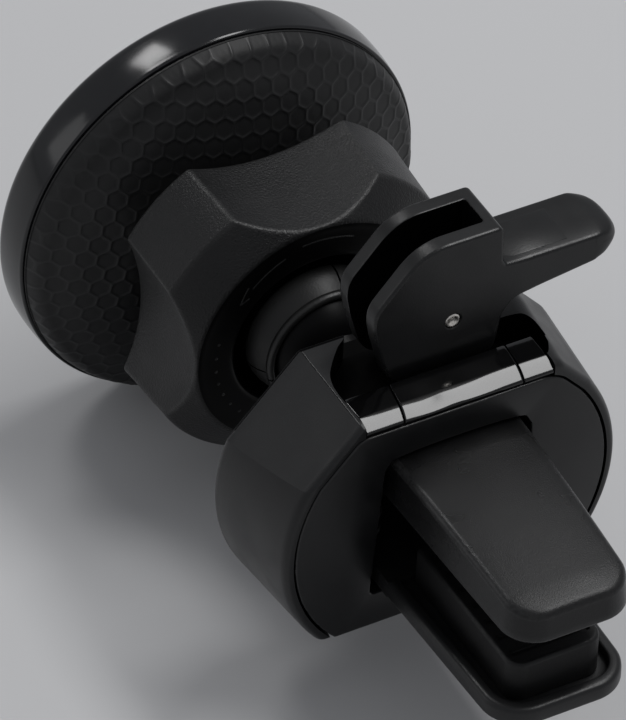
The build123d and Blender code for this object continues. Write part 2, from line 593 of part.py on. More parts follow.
with BuildPart() as bar_screw:
    with BuildSketch(Plane.XY.offset(LJ_BOT - 1.4)):
        with Locations((PIN_X, PIN_Y)):
            Circle(2.0)
    extrude(amount=1.38)
    with BuildSketch(Plane.XY.offset(LJ_BOT - 0.5)):
        with Locations((PIN_X, PIN_Y)):
            Circle(0.92)
    extrude(amount=8.6)
    with BuildSketch(Plane.XY.offset(LJ_BOT - 1.4)):
        with Locations((PIN_X, PIN_Y)):
            Rectangle(2.6, 0.6)
            Rectangle(0.6, 2.6)
    extrude(amount=0.7, mode=Mode.SUBTRACT)

with BuildPart() as pivot_pin:
    with BuildSketch(yplane(LEVER_Y1 - 0.05)):
        with Locations((PIN_X, PIN_Z)):
            Circle(PIN_R)
    extrude(amount=LEVER_Y1 - LEVER_Y0 - 0.1)
    chamfer(pivot_pin.faces().sort_by(Axis.Y)[-1].edges() + pivot_pin.faces().sort_by(Axis.Y)[0].edges(), 0.15)

# coil springs that push the jaw carriage down when the lever is released
SPR_Z0, SPR_Z1 = LJ_BOT + 2.45, CAV_Z1 - 0.05
SPR_R, SPR_W = 2.3, 0.32
with BuildPart() as return_springs:
    for sx in (XJ + 8.8, XJ - 9.6):
        with BuildLine() as coil:
            Helix(pitch=(SPR_Z1 - SPR_Z0 - 2 * SPR_W) / 7.0, height=SPR_Z1 - SPR_Z0 - 2 * SPR_W, radius=SPR_R,
                  center=(sx, -7.2, SPR_Z0 + SPR_W))
        with BuildSketch(Plane(origin=coil.line @ 0, z_dir=coil.line % 0)):
            Circle(SPR_W)
        sweep(path=coil.line, is_frenet=True)

# =========================== cam lever =====================================
PROFILE = [(-6.3, 12.3), (2.3, 12.3), (4.6, 11.6), (6.3, 10.2), (10.2, 5.6), (11.0, 4.2), (11.15, 2.6),
           (10.4, -0.1), (8.5, -5.3), (7.3, -6.7), (4.3, -8.45), (-2.6, -8.45), (-6.0, -6.5), (-6.5, -4.0),
           (-6.8, -1.6), (-8.2, 0.35), (-12.0, 1.0), (-19.2, 2.0), (-21.6, 2.7), (-22.6, 4.2), (-21.9, 5.6), (-20.4, 6.2),
           (-6.9, 6.25), (-6.5, 7.2)]
with BuildPart() as cam_lever:
    with BuildSketch(yplane(LEVER_Y1)):
        with BuildLine():
            Polyline(*[(PIN_X + x, PIN_Z + z) for x, z in PROFILE], close=True)
        make_face()
    extrude(amount=LEVER_Y1 - LEVER_Y0)
    # plan outline with the rounded tab end
    with BuildSketch(Plane.XY.offset(5)):
        with BuildLine():
            xt = PIN_X - 22.6
            Line((20, LEVER_Y1), (xt + 4.2, LEVER_Y1))
            ThreePointArc((xt + 4.2, LEVER_Y1), (xt + 1.0, LEVER_Y1 - 1.5), (xt, LEVER_Y1 - 4.35))
            ThreePointArc((xt, LEVER_Y1 - 4.35), (xt + 1.0, LEVER_Y0 + 1.5), (xt + 4.2, LEVER_Y0))
            Line((xt + 4.2, LEVER_Y0), (20, LEVER_Y0))
            Line((20, LEVER_Y0), (20, LEVER_Y1))
        make_face()
    extrude(amount=40.0, mode=Mode.INTERSECT)
    # slot between the cheeks, closed by a web at the tab end
    with BuildSketch(Plane.XY.offset(5)):
        with Locations(((PIN_X - 4.55 + 20) / 2, PIN_Y)):
            Rectangle(20 - (PIN_X - 4.55), SLOT_W)
    extrude(amount=40.0, mode=Mode.SUBTRACT)
    with BuildSketch(yplane(LEVER_Y1 + 1)):
        with Locations((PIN_X, PIN_Z)):
            Circle(PIN_R + PIN_GAP)
    extrude(amount=12.0, mode=Mode.SUBTRACT)
    # thumb recess on the tab
    with BuildSketch(Plane.XY.offset(PIN_Z + 6.25 - 0.45)):
        with Locations((PIN_X - 11.2, PIN_Y - 0.3)):
            RectangleRounded(8.0, 5.4, 0.5)
    extrude(amount=2.0, mode=Mode.SUBTRACT)

# ---------------------------------------------------------------------------
os.makedirs("parts", exist_ok=True)
phone_pad.part.label = "phone_pad"
export_step(phone_pad.part, "parts/phone_pad.step")
front_shell.part.label = "front_shell"
export_step(front_shell.part, "parts/front_shell.step")
back_cover.part.label = "back_cover"
export_step(back_cover.part, "parts/back_cover.step")
magnet_holder.part.label = "magnet_holder"
export_step(magnet_holder.part, "parts/magnet_holder.step")
ring_magnets.part.label = "ring_magnets"
export_step(ring_magnets.part, "parts/ring_magnets.step")
yoke_ring.part.label = "yoke_ring"
export_step(yoke_ring.part, "parts/yoke_ring.step")
socket_collet.part.label = "socket_collet"
export_step(socket_collet.part, "parts/socket_collet.step")
head_screws.part.label = "head_screws"
export_step(head_screws.part, "parts/head_screws.step")
ball_seat_pad.part.label = "ball_seat_pad"
export_step(ball_seat_pad.part, "parts/ball_seat_pad.step")
spring_washer.part.label = "spring_washer"
export_step(spring_washer.part, "parts/spring_washer.step")
lock_nut.part.label = "lock_nut"
export_step(lock_nut.part, "parts/lock_nut.step")
rear_housing.part.label = "rear_housing"
export_step(rear_housing.part, "parts/rear_housing.step")
front_housing.part.label = "front_housing"
export_step(front_housing.part, "parts/front_housing.step")
front_plate.part.label = "front_plate"
export_step(front_plate.part, "parts/front_plate.step")
top_trim.part.label = "top_trim"
export_step(top_trim.part, "parts/top_trim.step")
trim_bridge.part.label = "trim_bridge"
export_step(trim_bridge.part, "parts/trim_bridge.step")
housing_screws.part.label = "housing_screws"
export_step(housing_screws.part, "parts/housing_screws.step")
ball_stud.part.label = "ball_stud"
export_step(ball_stud.part, "parts/ball_stud.step")
stud_screw.part.label = "stud_screw"
export_step(stud_screw.part, "parts/stud_screw.step")
upper_jaw_core.part.label = "upper_jaw_core"
export_step(upper_jaw_core.part, "parts/upper_jaw_core.step")
upper_jaw_sleeve.part.label = "upper_jaw_sleeve"
export_step(upper_jaw_sleeve.part, "parts/upper_jaw_sleeve.step")
lower_jaw.part.label = "lower_jaw"
export_step(lower_jaw.part, "parts/lower_jaw.step")
lower_jaw_pad.part.label = "lower_jaw_pad"
export_step(lower_jaw_pad.part, "parts/lower_jaw_pad.step")
draw_bar.part.label = "draw_bar"
export_step(draw_bar.part, "parts/draw_bar.step")
bar_screw.part.label = "bar_screw"
export_step(bar_screw.part, "parts/bar_screw.step")
pivot_pin.part.label = "pivot_pin"
export_step(pivot_pin.part, "parts/pivot_pin.step")
return_springs.part.label = "return_springs"
export_step(return_springs.part, "parts/return_springs.step")
cam_lever.part.label = "cam_lever"
export_step(cam_lever.part, "parts/cam_lever.step")
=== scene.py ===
import math

import bmesh
import bpy
import numpy as np
from mathutils import Matrix, Vector


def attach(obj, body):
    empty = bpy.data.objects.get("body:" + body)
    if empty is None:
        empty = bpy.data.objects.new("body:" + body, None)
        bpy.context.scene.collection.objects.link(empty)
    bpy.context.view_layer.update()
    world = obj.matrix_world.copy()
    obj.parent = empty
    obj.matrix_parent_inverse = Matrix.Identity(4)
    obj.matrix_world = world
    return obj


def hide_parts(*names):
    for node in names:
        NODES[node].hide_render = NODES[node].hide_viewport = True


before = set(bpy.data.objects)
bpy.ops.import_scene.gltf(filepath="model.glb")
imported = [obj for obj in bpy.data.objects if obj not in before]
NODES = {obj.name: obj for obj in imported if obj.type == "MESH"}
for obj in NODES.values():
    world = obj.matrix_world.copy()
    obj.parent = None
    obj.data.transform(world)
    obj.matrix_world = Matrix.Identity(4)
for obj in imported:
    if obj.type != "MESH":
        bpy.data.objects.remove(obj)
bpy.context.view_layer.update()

MM = 0.001

# ---------------------------------------------------------------------------
# numbers shared with the part: millimetres, row frame
# ---------------------------------------------------------------------------
Z_HEAD = 0.32
Z_BODY = -1.16
XJ = -0.35
PIN_X, PIN_Y, PIN_Z = -2.66, -11.25, 22.65
LEVER_Y1, LEVER_Y0 = -6.9, -15.6
CHEEK_T = 2.1
SLOT_W = LEVER_Y1 - LEVER_Y0 - 2 * CHEEK_T
TOP_Z, BOT_Z = 17.4, -16.0
FACET = [(13.1, 17.4), (20.85, 8.75)]


# ---------------------------------------------------------------------------
# mesh helpers (all in mm, scaled once at the end)
# ---------------------------------------------------------------------------
def smooth_noise(p, seed, scale):
    """Cheap smooth value noise in [-1, 1] for points p (N, k), as sums of sines."""
    rng = np.random.default_rng(seed)
    out = np.zeros(len(p))
    for _ in range(7):
        k = rng.normal(size=p.shape[1])
        k *= scale / np.linalg.norm(k) * rng.uniform(0.6, 1.5)
        out += np.sin(p @ k * 2 * math.pi + rng.uniform(0, 6.28))
    return out / 7 * 1.6


def fillet2d(pts, radii, seg=5, closed=True):
    """Polyline with its corners rounded. radii is one number or one for each corner."""
    pts = [np.array(p, float) for p in pts]
    n = len(pts)
    if not hasattr(radii, "__len__"):
        radii = [radii] * n
    out = []
    for i in range(n):
        p = pts[i]
        r = radii[i]
        if (not closed and i in (0, n - 1)) or r <= 0:
            out.append(p)
            continue
        a, b = pts[i - 1] - p, pts[(i + 1) % n] - p
        la, lb = np.linalg.norm(a), np.linalg.norm(b)
        a, b = a / la, b / lb
        cosang = float(np.clip(a @ b, -1, 1))
        ang = math.acos(cosang)
        if math.pi - ang < 0.02:
            out.append(p)
            continue
        t = min(r / math.tan(ang / 2), 0.48 * la, 0.48 * lb)
        rr = t * math.tan(ang / 2)
        c = p + (a + b) / np.linalg.norm(a + b) * rr / math.sin(ang / 2)
        s, e = p + a * t - c, p + b * t - c
        turn = math.pi - ang
        k = max(2, int(math.ceil(seg * turn / (math.pi / 2))))
        cross = s[0] * e[1] - s[1] * e[0]
        sg = 1 if cross > 0 else -1
        for j in range(k + 1):
            th = sg * turn * j / k
            out.append(c + np.array([s[0] * math.cos(th) - s[1] * math.sin(th),
                                     s[0] * math.sin(th) + s[1] * math.cos(th)]))
    return [tuple(q) for q in out]


def spline2d(pts, sub=6):
    """Smooth curve through pts (Catmull-Rom), open."""
    P = [np.array(p, float) for p in pts]
    P = [2 * P[0] - P[1]] + P + [2 * P[-1] - P[-2]]
    out = []
    for i in range(1, len(P) - 2):
        for k in range(sub):
            t = k / sub
            out.append(tuple(0.5 * (2 * P[i] + (P[i + 1] - P[i - 1]) * t + (2 * P[i - 1] - 5 * P[i] + 4 * P[i + 1] - P[i + 2]) *
                                    t * t + (3 * P[i] - P[i - 1] - 3 * P[i + 1] + P[i + 2]) * t ** 3)))
    out.append(tuple(P[-2]))
    return out


def arc2d(cx, cy, r, a0, a1, n):
    return [(cx + r * math.cos(math.radians(a0 + (a1 - a0) * i / n)),
             cy + r * math.sin(math.radians(a0 + (a1 - a0) * i / n))) for i in range(n + 1)]


def make_mesh(name, verts, faces):
    me = bpy.data.meshes.new(name)
    me.from_pydata([tuple(v) for v in verts], [], [tuple(f) for f in faces])
    bm = bmesh.new()
    bm.from_mesh(me)
    bmesh.ops.remove_doubles(bm, verts=bm.verts, dist=1e-5)
    bmesh.ops.dissolve_degenerate(bm, edges=bm.edges, dist=1e-6)
    bmesh.ops.recalc_face_normals(bm, faces=bm.faces)
    bm.to_mesh(me)
    bm.free()
    me.update()
    return me


def temp_obj(name, me):
    ob = bpy.data.objects.new(name, me)
    bpy.context.scene.collection.objects.link(ob)
    return ob


def revolve(profile, n=192, zc=Z_HEAD, closed=True):
    """Solid of revolution about the Y line through z = zc. profile is (y, r) pairs."""
    verts, rings = [], []
    for y, r in profile:
        if r < 1e-6:
            rings.append([len(verts)])
            verts.append((0, y, zc))
        else:
            idx = []
            for i in range(n):
                a = 2 * math.pi * i / n
                idx.append(len(verts))
                verts.append((r * math.cos(a), y, zc + r * math.sin(a)))
            rings.append(idx)
    faces = []
    m = len(rings)
    for k in range(m if closed else m - 1):
        A, B = rings[k], rings[(k + 1) % m]
        if len(A) == 1 and len(B) == 1:
            continue
        for i in range(n):
            j = (i + 1) % n
            if len(A) == 1:
                faces.append((A[0], B[i], B[j]))
            elif len(B) == 1:
                faces.append((A[i], B[0], A[j]))
            else:
                faces.append((A[i], B[i], B[j], A[j]))
    return verts, faces


def prism(outline, a0, a1, axis="y"):
    """Closed prism with n-gon caps. outline is 2-D: (x, z) for axis y, (x, y) for axis z, (y, z) for axis x."""
    n = len(outline)

    def place(p, t):
        if axis == "y":
            return (p[0], t, p[1])
        if axis == "z":
            return (p[0], p[1], t)
        return (t, p[0], p[1])

    verts = [place(p, a0) for p in outline] + [place(p, a1) for p in outline]
    faces = [tuple(range(n)), tuple(range(2 * n - 1, n - 1, -1))]
    faces += [(i, (i + 1) % n, n + (i + 1) % n, n + i) for i in range(n)]
    return verts, faces


def loft_rings(rings, cap_start=True, cap_end=True):
    """Rings with the same number of points, joined in order, with n-gon caps."""
    verts, faces = [], []
    n = len(rings[0])
    for r in rings:
        verts += [tuple(p) for p in r]
    for k in range(len(rings) - 1):
        for i in range(n):
            j = (i + 1) % n
            faces.append((k * n + i, k * n + j, (k + 1) * n + j, (k + 1) * n + i))
    if cap_start:
        faces.append(tuple(range(n)))
    if cap_end:
        faces.append(tuple((len(rings) - 1) * n + i for i in range(n))[::-1])
    return verts, faces


def evaluated(ob):
    bpy.context.view_layer.update()
    dg = bpy.context.evaluated_depsgraph_get()
    me = bpy.data.meshes.new_from_object(ob.evaluated_get(dg))
    return me


def boolean(me, cutters, op="DIFFERENCE"):
    """me and cutters are meshes; returns a new mesh."""
    ob = temp_obj("tmp_bool", me)
    cuts = []
    for c in cutters:
        co = temp_obj("tmp_cut", c)
        cuts.append(co)
        m = ob.modifiers.new("b", "BOOLEAN")
        m.operation = op
        m.solver = "EXACT"
        m.object = co
    out = evaluated(ob)
    for o in [ob, *cuts]:
        bpy.data.objects.remove(o)
    return out


def bevel(me, width, segments=3, angle=30, harden=False, clamp=True):
    ob = temp_obj("tmp_bev", me)
    m = ob.modifiers.new("bv", "BEVEL")
    m.width = width
    m.segments = segments
    m.limit_method = "ANGLE"
    m.angle_limit = math.radians(angle)
    m.use_clamp_overlap = clamp
    m.miter_outer = "MITER_ARC"
    out = evaluated(ob)
    bpy.data.objects.remove(ob)
    return out


def clean(me, dist=1e-4):
    bm = bmesh.new()
    bm.from_mesh(me)
    bmesh.ops.remove_doubles(bm, verts=bm.verts, dist=dist)
    bmesh.ops.dissolve_degenerate(bm, edges=bm.edges, dist=dist)
    bm.to_mesh(me)
    bm.free()
    return me


def join_meshes(meshes):
    bm = bmesh.new()
    for m in meshes:
        bm.from_mesh(m)
    me = bpy.data.meshes.new("joined")
    bm.to_mesh(me)
    bm.free()
    return me


def edge_wear_and_highlight(me):
    """Point attribute of how convex the surface is around each vertex, 0 to 1; the materials lighten convex edges by
    it, partly as rubbed wear and partly as a painted edge highlight.
    """
    n = len(me.vertices)
    co = np.empty(n * 3)
    me.vertices.foreach_get("co", co)
    co = co.reshape(-1, 3)
    fn = np.empty(len(me.polygons) * 3)
    me.polygons.foreach_get("normal", fn)
    fn = fn.reshape(-1, 3)
    fc = np.array([p.center for p in me.polygons]).reshape(-1, 3)
    link = {}
    for p in me.polygons:
        for k in p.edge_keys:
            link.setdefault(k, []).append(p.index)
    acc = np.zeros(n)
    wgt = np.full(n, 1e-9)
    for (a, b), fs in link.items():
        if len(fs) != 2:
            continue
        f, g = fs
        d = fc[g] - fc[f]
        ang = math.acos(max(-1.0, min(1.0, float(fn[f] @ fn[g]))))
        sign = 1.0 if float(fn[f] @ d) < 0 else -1.0
        el = float(np.linalg.norm(co[a] - co[b]))
        k = sign * ang / max(0.12, float(np.linalg.norm(d)))
        for v in (a, b):
            acc[v] += k * el
            wgt[v] += el
    w = np.clip(acc / wgt / 1.2, 0, 1)
    at = me.attributes.get("wear_and_highlight") or me.attributes.new("wear_and_highlight", "FLOAT", "POINT")
    at.data.foreach_set("value", w.astype(np.float32))


def finish_piece(name, me, mats, body, replaces=(), sharp=32, wear_and_highlight=True):
    if not isinstance(mats, (list, tuple)):
        mats = [mats]
    me.transform(Matrix.Identity(4))
    if wear_and_highlight:
        edge_wear_and_highlight(me)
    me.transform(Matrix.Scale(MM, 4))
    me.name = name
    for p in me.polygons:
        p.use_smooth = True
    me.set_sharp_from_angle(angle=math.radians(sharp))
    ob = bpy.data.objects.new(name, me)
    bpy.context.scene.collection.objects.link(ob)
    me.materials.clear()
    for m in mats:
        me.materials.append(m)
    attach(ob, body)
    if replaces:
        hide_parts(*replaces)
    return ob


# ---------------------------------------------------------------------------
# materials
# ---------------------------------------------------------------------------
def new_mat(name):
    m = bpy.data.materials.new(name)
    m.use_nodes = True
    nt = m.node_tree
    nt.nodes.clear()
    out = nt.nodes.new("ShaderNodeOutputMaterial")
    b = nt.nodes.new("ShaderNodeBsdfPrincipled")
    nt.links.new(b.outputs[0], out.inputs[0])
    return m, nt, b


def nd(nt, kind, **kw):
    n = nt.nodes.new(kind)
    for k, v in kw.items():
        if k in n.inputs:
            n.inputs[k].default_value = v
        else:
            setattr(n, k, v)
    return n


def mixc(nt, fac, a, b):
    m = nt.nodes.new("ShaderNodeMix")
    m.data_type = "RGBA"
    for sock, v in ((m.inputs[0], fac), (m.inputs[6], a), (m.inputs[7], b)):
        if isinstance(v, bpy.types.NodeSocket):
            nt.links.new(v, sock)
        else:
            sock.default_value = v
    return m.outputs[2]


def ramp(nt, src, lo, hi, to0, to1):
    m = nt.nodes.new("ShaderNodeMapRange")
    m.inputs[1].default_value = lo
    m.inputs[2].default_value = hi
    m.inputs[3].default_value = to0
    m.inputs[4].default_value = to1
    m.clamp = True
    nt.links.new(src, m.inputs[0])
    return m.outputs[0]


def math_node(nt, op, a, b):
    m = nt.nodes.new("ShaderNodeMath")
    m.operation = op
    for s, v in ((m.inputs[0], a), (m.inputs[1], b)):
        if isinstance(v, bpy.types.NodeSocket):
            nt.links.new(v, s)
        else:
            s.default_value = v
    return m.outputs[0]


def plastic(name, base, rough, grain=0.12, grain_scale=4.5, cloud=0.25, wear_and_highlight=0.0, wear_and_highlight_col=(0.07, 0.07, 0.072, 1),
            rough_var=0.06, coat=0.0, coat_rough=0.1, spec=0.5, speck=0.0):
    """Moulded plastic. grain is the bump's strength, grain_scale its pitch in 1/mm, cloud the large soft colour change.
    The edge term lightens convex edges and lowers their roughness: partly rubbed wear, partly a painted edge highlight.
    """
    m, nt, b = new_mat(name)
    tc = nd(nt, "ShaderNodeTexCoord")
    co = tc.outputs["Object"]
    big = nd(nt, "ShaderNodeTexNoise", Scale=160.0, Detail=3.0, Roughness=0.55)
    nt.links.new(co, big.inputs["Vector"])
    fine = nd(nt, "ShaderNodeTexNoise", Scale=grain_scale * 1000.0, Detail=2.0, Roughness=0.6)
    nt.links.new(co, fine.inputs["Vector"])
    b0 = tuple(c * (1 - cloud) for c in base[:3]) + (1,)
    b1 = tuple(c * (1 + cloud) for c in base[:3]) + (1,)
    col = mixc(nt, ramp(nt, big.outputs[0], 0.3, 0.7, 0, 1), b0, b1)
    if speck:
        sp = nd(nt, "ShaderNodeTexVoronoi", Scale=grain_scale * 420.0)
        nt.links.new(co, sp.inputs["Vector"])
        f = ramp(nt, sp.outputs["Distance"], 0.0, 0.28, speck, 0.0)
        col = mixc(nt, f, col, tuple(c * 3.0 for c in base[:3]) + (1,))
    rough_s = ramp(nt, big.outputs[0], 0.3, 0.7, rough - rough_var, rough + rough_var)
    if wear_and_highlight:
        at = nd(nt, "ShaderNodeAttribute")
        at.attribute_name = "wear_and_highlight"
        brk = nd(nt, "ShaderNodeTexNoise", Scale=2200.0, Detail=3.0, Roughness=0.7)
        nt.links.new(co, brk.inputs["Vector"])
        f = math_node(nt, "MULTIPLY", at.outputs["Fac"], ramp(nt, brk.outputs[0], 0.35, 0.65, 0.25, 1.0))
        glint = math_node(nt, "MULTIPLY", f, 0.75)
        f = math_node(nt, "MULTIPLY", f, wear_and_highlight)
        # painted edge highlight together with rubbed wear: convex edges lightened towards the edge colour
        col = mixc(nt, f, col, wear_and_highlight_col)
        m1 = nt.nodes.new("ShaderNodeMix")
        nt.links.new(glint, m1.inputs[0])
        nt.links.new(rough_s, m1.inputs[2])
        m1.inputs[3].default_value = min(rough, 0.20)
        rough_s = m1.outputs[0]
    nt.links.new(col, b.inputs["Base Color"])
    nt.links.new(rough_s, b.inputs["Roughness"])
    b.inputs["Specular IOR Level"].default_value = spec
    b.inputs["Coat Weight"].default_value = coat
    b.inputs["Coat Roughness"].default_value = coat_rough
    if grain:
        bp = nd(nt, "ShaderNodeBump", Strength=min(1.0, grain), Distance=0.00006 * max(1.0, grain / 0.5))
        nt.links.new(fine.outputs[0], bp.inputs["Height"])
        nt.links.new(bp.outputs[0], b.inputs["Normal"])
    return m


def metal(name, base, rough, brushed=True):
    m, nt, b = new_mat(name)
    tc = nd(nt, "ShaderNodeTexCoord")
    n1 = nd(nt, "ShaderNodeTexNoise", Scale=2500.0, Detail=3.0, Roughness=0.6)
    nt.links.new(tc.outputs["Object"], n1.inputs["Vector"])
    col = mixc(nt, ramp(nt, n1.outputs[0], 0.35, 0.65, 0, 1), tuple(c * 0.75 for c in base[:3]) + (1,), base)
    nt.links.new(col, b.inputs["Base Color"])
    nt.links.new(ramp(nt, n1.outputs[0], 0.3, 0.7, rough * 0.75, rough * 1.35), b.inputs["Roughness"])
    b.inputs["Metallic"].default_value = 1.0
    if brushed:
        bp = nd(nt, "ShaderNodeBump", Strength=0.12, Distance=0.00003)
        nt.links.new(n1.outputs[0], bp.inputs["Height"])
        nt.links.new(bp.outputs[0], b.inputs["Normal"])
    return m


# the edge colours in these materials are partly rubbed wear, partly a painted edge highlight
SATIN = plastic("satin_black", (0.0040, 0.0041, 0.0045, 1), 0.37, grain=0.30, grain_scale=5.0, cloud=0.22, wear_and_highlight=0.22,
                wear_and_highlight_col=(0.045, 0.045, 0.046, 1), spec=0.38)
SATIN_TRAY = plastic("satin_black_tray", (0.0085, 0.0086, 0.0090, 1), 0.42, grain=0.30, grain_scale=5.0, cloud=0.22, wear_and_highlight=0.16,
                    wear_and_highlight_col=(0.040, 0.040, 0.041, 1), spec=0.38)
SATIN_LEVER = plastic("satin_black_lever", (0.0036, 0.0037, 0.0040, 1), 0.37, grain=0.26, grain_scale=5.0, cloud=0.22,
                      wear_and_highlight=0.30, wear_and_highlight_col=(0.030, 0.030, 0.030, 1), spec=0.38)
NUT = plastic("soft_touch_nut", (0.0042, 0.0042, 0.0045, 1), 0.40, grain=0.9, grain_scale=3.6, cloud=0.2, wear_and_highlight=0.55,
              wear_and_highlight_col=(0.045, 0.045, 0.044, 1), speck=0.25, spec=0.36)
# darker, low-spec material for the nut's front face and bore; in the bore it is painted shade
NUT_FACE = plastic("nut_face", (0.0014, 0.0014, 0.0015, 1), 0.34, grain=0.12, grain_scale=5.0, cloud=0.2, spec=0.12)
SOFT = plastic("soft_touch_black", (0.0045, 0.0045, 0.0048, 1), 0.31, grain=0.50, grain_scale=6.5, cloud=0.15, wear_and_highlight=0.55,
               wear_and_highlight_col=(0.060, 0.060, 0.060, 1), speck=0.30, spec=0.32)
RUBBER = plastic("rubber_black", (0.0032, 0.0032, 0.0034, 1), 0.60, grain=0.5, grain_scale=3.0, cloud=0.2, wear_and_highlight=0.15,
                 wear_and_highlight_col=(0.015, 0.015, 0.015, 1), speck=0.2, spec=0.35)
GLOSS = plastic("gloss_black", (0.0022, 0.0022, 0.0024, 1), 0.08, grain=0.0, cloud=0.2, rough_var=0.02, spec=0.40)
GLOSS_RIM = plastic("gloss_rim", (0.0040, 0.0042, 0.0052, 1), 0.14, grain=0.03, grain_scale=1.2, cloud=0.25,
                    rough_var=0.03, wear_and_highlight=0.10, wear_and_highlight_col=(0.03, 0.03, 0.03, 1))
GLOSS_TRIM = plastic("gloss_trim", (0.0025, 0.0025, 0.0027, 1), 0.09, grain=0.0, cloud=0.2, rough_var=0.02, spec=0.50)
COLLET = plastic("collet_grey", (0.0105, 0.0105, 0.0102, 1), 0.48, grain=0.4, grain_scale=3.5, cloud=0.25, wear_and_highlight=0.25,
                 wear_and_highlight_col=(0.035, 0.035, 0.034, 1), spec=0.40)
# painted shade: near-black, almost spec-less material for cavities, recesses, slots, bores and parts that sit in shade
INNER_SHADE = plastic("inner_black", (0.0007, 0.0007, 0.0008, 1), 0.60, grain=0.2, grain_scale=3.5, cloud=0.2, spec=0.04)
BALL = plastic("ball_black", (0.0016, 0.0016, 0.0018, 1), 0.38, grain=0.1, grain_scale=4.0, cloud=0.2, spec=0.12)
STEEL = metal("steel", (0.62, 0.61, 0.60, 1), 0.22)
PIN = metal("steel_pin", (0.80, 0.77, 0.72, 1), 0.24)
MAGNET = metal("magnet", (0.52, 0.52, 0.53, 1), 0.16)
SPRING = metal("spring_dark", (0.06, 0.06, 0.062, 1), 0.35)


def honeycomb_mat():
    """The ridge attribute comes from the mesh: 1 on top of a ridge, 0 in a cell."""
    m, nt, b = new_mat("honeycomb_black")
    tc = nd(nt, "ShaderNodeTexCoord")
    at = nd(nt, "ShaderNodeAttribute")
    at.attribute_name = "ridge"
    big = nd(nt, "ShaderNodeTexNoise", Scale=130.0, Detail=3.0, Roughness=0.6)
    nt.links.new(tc.outputs["Object"], big.inputs["Vector"])
    fine = nd(nt, "ShaderNodeTexNoise", Scale=4200.0, Detail=2.0, Roughness=0.6)
    nt.links.new(tc.outputs["Object"], fine.inputs["Vector"])
    cell = mixc(nt, ramp(nt, big.outputs[0], 0.3, 0.7, 0, 1), (0.0050, 0.0050, 0.0052, 1), (0.0085, 0.0085, 0.0087, 1))
    col = mixc(nt, math_node(nt, "MULTIPLY", at.outputs["Fac"], 0.8), cell, (0.010, 0.010, 0.0102, 1))
    nt.links.new(col, b.inputs["Base Color"])
    nt.links.new(ramp(nt, at.outputs["Fac"], 0.0, 1.0, 0.50, 0.38), b.inputs["Roughness"])
    b.inputs["Specular IOR Level"].default_value = 0.36
    bp = nd(nt, "ShaderNodeBump", Strength=0.25, Distance=0.00005)
    nt.links.new(fine.outputs[0], bp.inputs["Height"])
    nt.links.new(bp.outputs[0], b.inputs["Normal"])
    return m


HONEY = honeycomb_mat()


def paint(node, mat):
    ob = NODES[node]
    ob.data.materials.clear()
    ob.data.materials.append(mat)
    for p in ob.data.polygons:
        p.material_index = 0


# ---------------------------------------------------------------------------
# disc: pad, rim, honeycomb dome
# ---------------------------------------------------------------------------
def build_disc():
    # pad with a shallow dish and a fine raised ring near its edge
    pr = [(-66.62, 0.0)]
    for r, d in ((8, 0.0), (15, 0.0), (20.6, 0.0), (21.0, -0.06), (21.6, -0.10), (22.2, -0.06), (22.6, 0.0)):
        pr.append((-66.62 + d * 1.4 - 0.0, r))
    pr += [(-66.66, 23.2), (-66.78, 23.7), (-66.93, 24.1), (-67.0, 24.5), (-67.0, 25.2), (-66.94, 25.55), (-66.80, 25.78),
           (-66.6, 25.87), (-66.2, 25.9), (-65.93, 25.9), (-65.93, 12.0), (-65.93, 0.0)]
    v, f = revolve(pr, 256, closed=False)
    finish_piece("phone_pad_skin", make_mesh("pad", v, f), RUBBER, "head", ["phone_pad"], sharp=50,
                 wear_and_highlight=False)

    # rim: crowned side, rolled front lip, small rounded back edge
    def crown(y):
        return 28.0 - 0.020 * (y + 63.2) ** 2

    prof = [(-59.62, 26.3), (-59.62, 27.42)]
    yb, rb = -59.62, 0.42
    for a in (10, 25, 40, 55, 70, 85):
        t = math.radians(a)
        prof.append((yb - rb * (1 - math.cos(t)) * 0.9, crown(yb - rb) - rb * 0.62 * (1 - math.sin(t))))
    for y in (-60.15, -60.4, -60.8, -61.3, -61.9, -62.5, -63.2, -63.8, -64.3):
        prof.append((y, crown(y)))
    for a in range(6, 91, 7):
        t = math.radians(a)
        prof.append((-64.5 - 1.62 * math.sin(t), 26.60 + (crown(-64.5) - 26.60) * math.cos(t)))
    prof += [(-66.28, 26.45), (-66.42, 26.22), (-66.5, 26.12), (-66.48, 26.02), (-66.2, 26.0), (-65.9, 26.0), (-65.9, 12.0),
             (-65.9, 0.0), (-64.3, 0.0), (-64.3, 12.0), (-64.3, 26.3)]
    v, f = revolve(prof, 320, closed=False)
    # close the profile: last point back to the first
    n = 320
    first = list(range(0, n))
    last = list(range(len(v) - n, len(v)))
    f += [(last[i], first[i], first[(i + 1) % n], last[(i + 1) % n]) for i in range(n)]
    me = make_mesh("rim", v, f)
    finish_piece("rim_shell", me, GLOSS_RIM, "head", ["front_shell"], sharp=60)


DOME = np.array([(-59.6, 27.50), (-58.3, 26.95), (-56.9, 25.4), (-55.6, 23.0), (-54.3, 19.6), (-53.2, 16.0),
                 (-52.6, 13.2), (-52.4, 11.5)])


def dome_curve():
    """Natural cubic y(r) through the dome's points, as a dense table."""
    r = DOME[::-1, 1]
    y = DOME[::-1, 0]
    n = len(r)
    h = np.diff(r)
    A = np.zeros((n, n))
    b = np.zeros(n)
    A[0, 0] = A[-1, -1] = 1
    for i in range(1, n - 1):
        A[i, i - 1], A[i, i], A[i, i + 1] = h[i - 1], 2 * (h[i - 1] + h[i]), h[i]
        b[i] = 6 * ((y[i + 1] - y[i]) / h[i] - (y[i] - y[i - 1]) / h[i - 1])
    M = np.linalg.solve(A, b)

    def f(x):
        x = np.clip(x, r[0], r[-1])
        i = np.clip(np.searchsorted(r, x) - 1, 0, n - 2)
        t0, t1 = r[i + 1] - x, x - r[i]
        hh = h[i]
        return (M[i] * t0 ** 3 + M[i + 1] * t1 ** 3) / (6 * hh) + (y[i] / hh - M[i] * hh / 6) * t0 + (
            y[i + 1] / hh - M[i + 1] * hh / 6) * t1

    return f


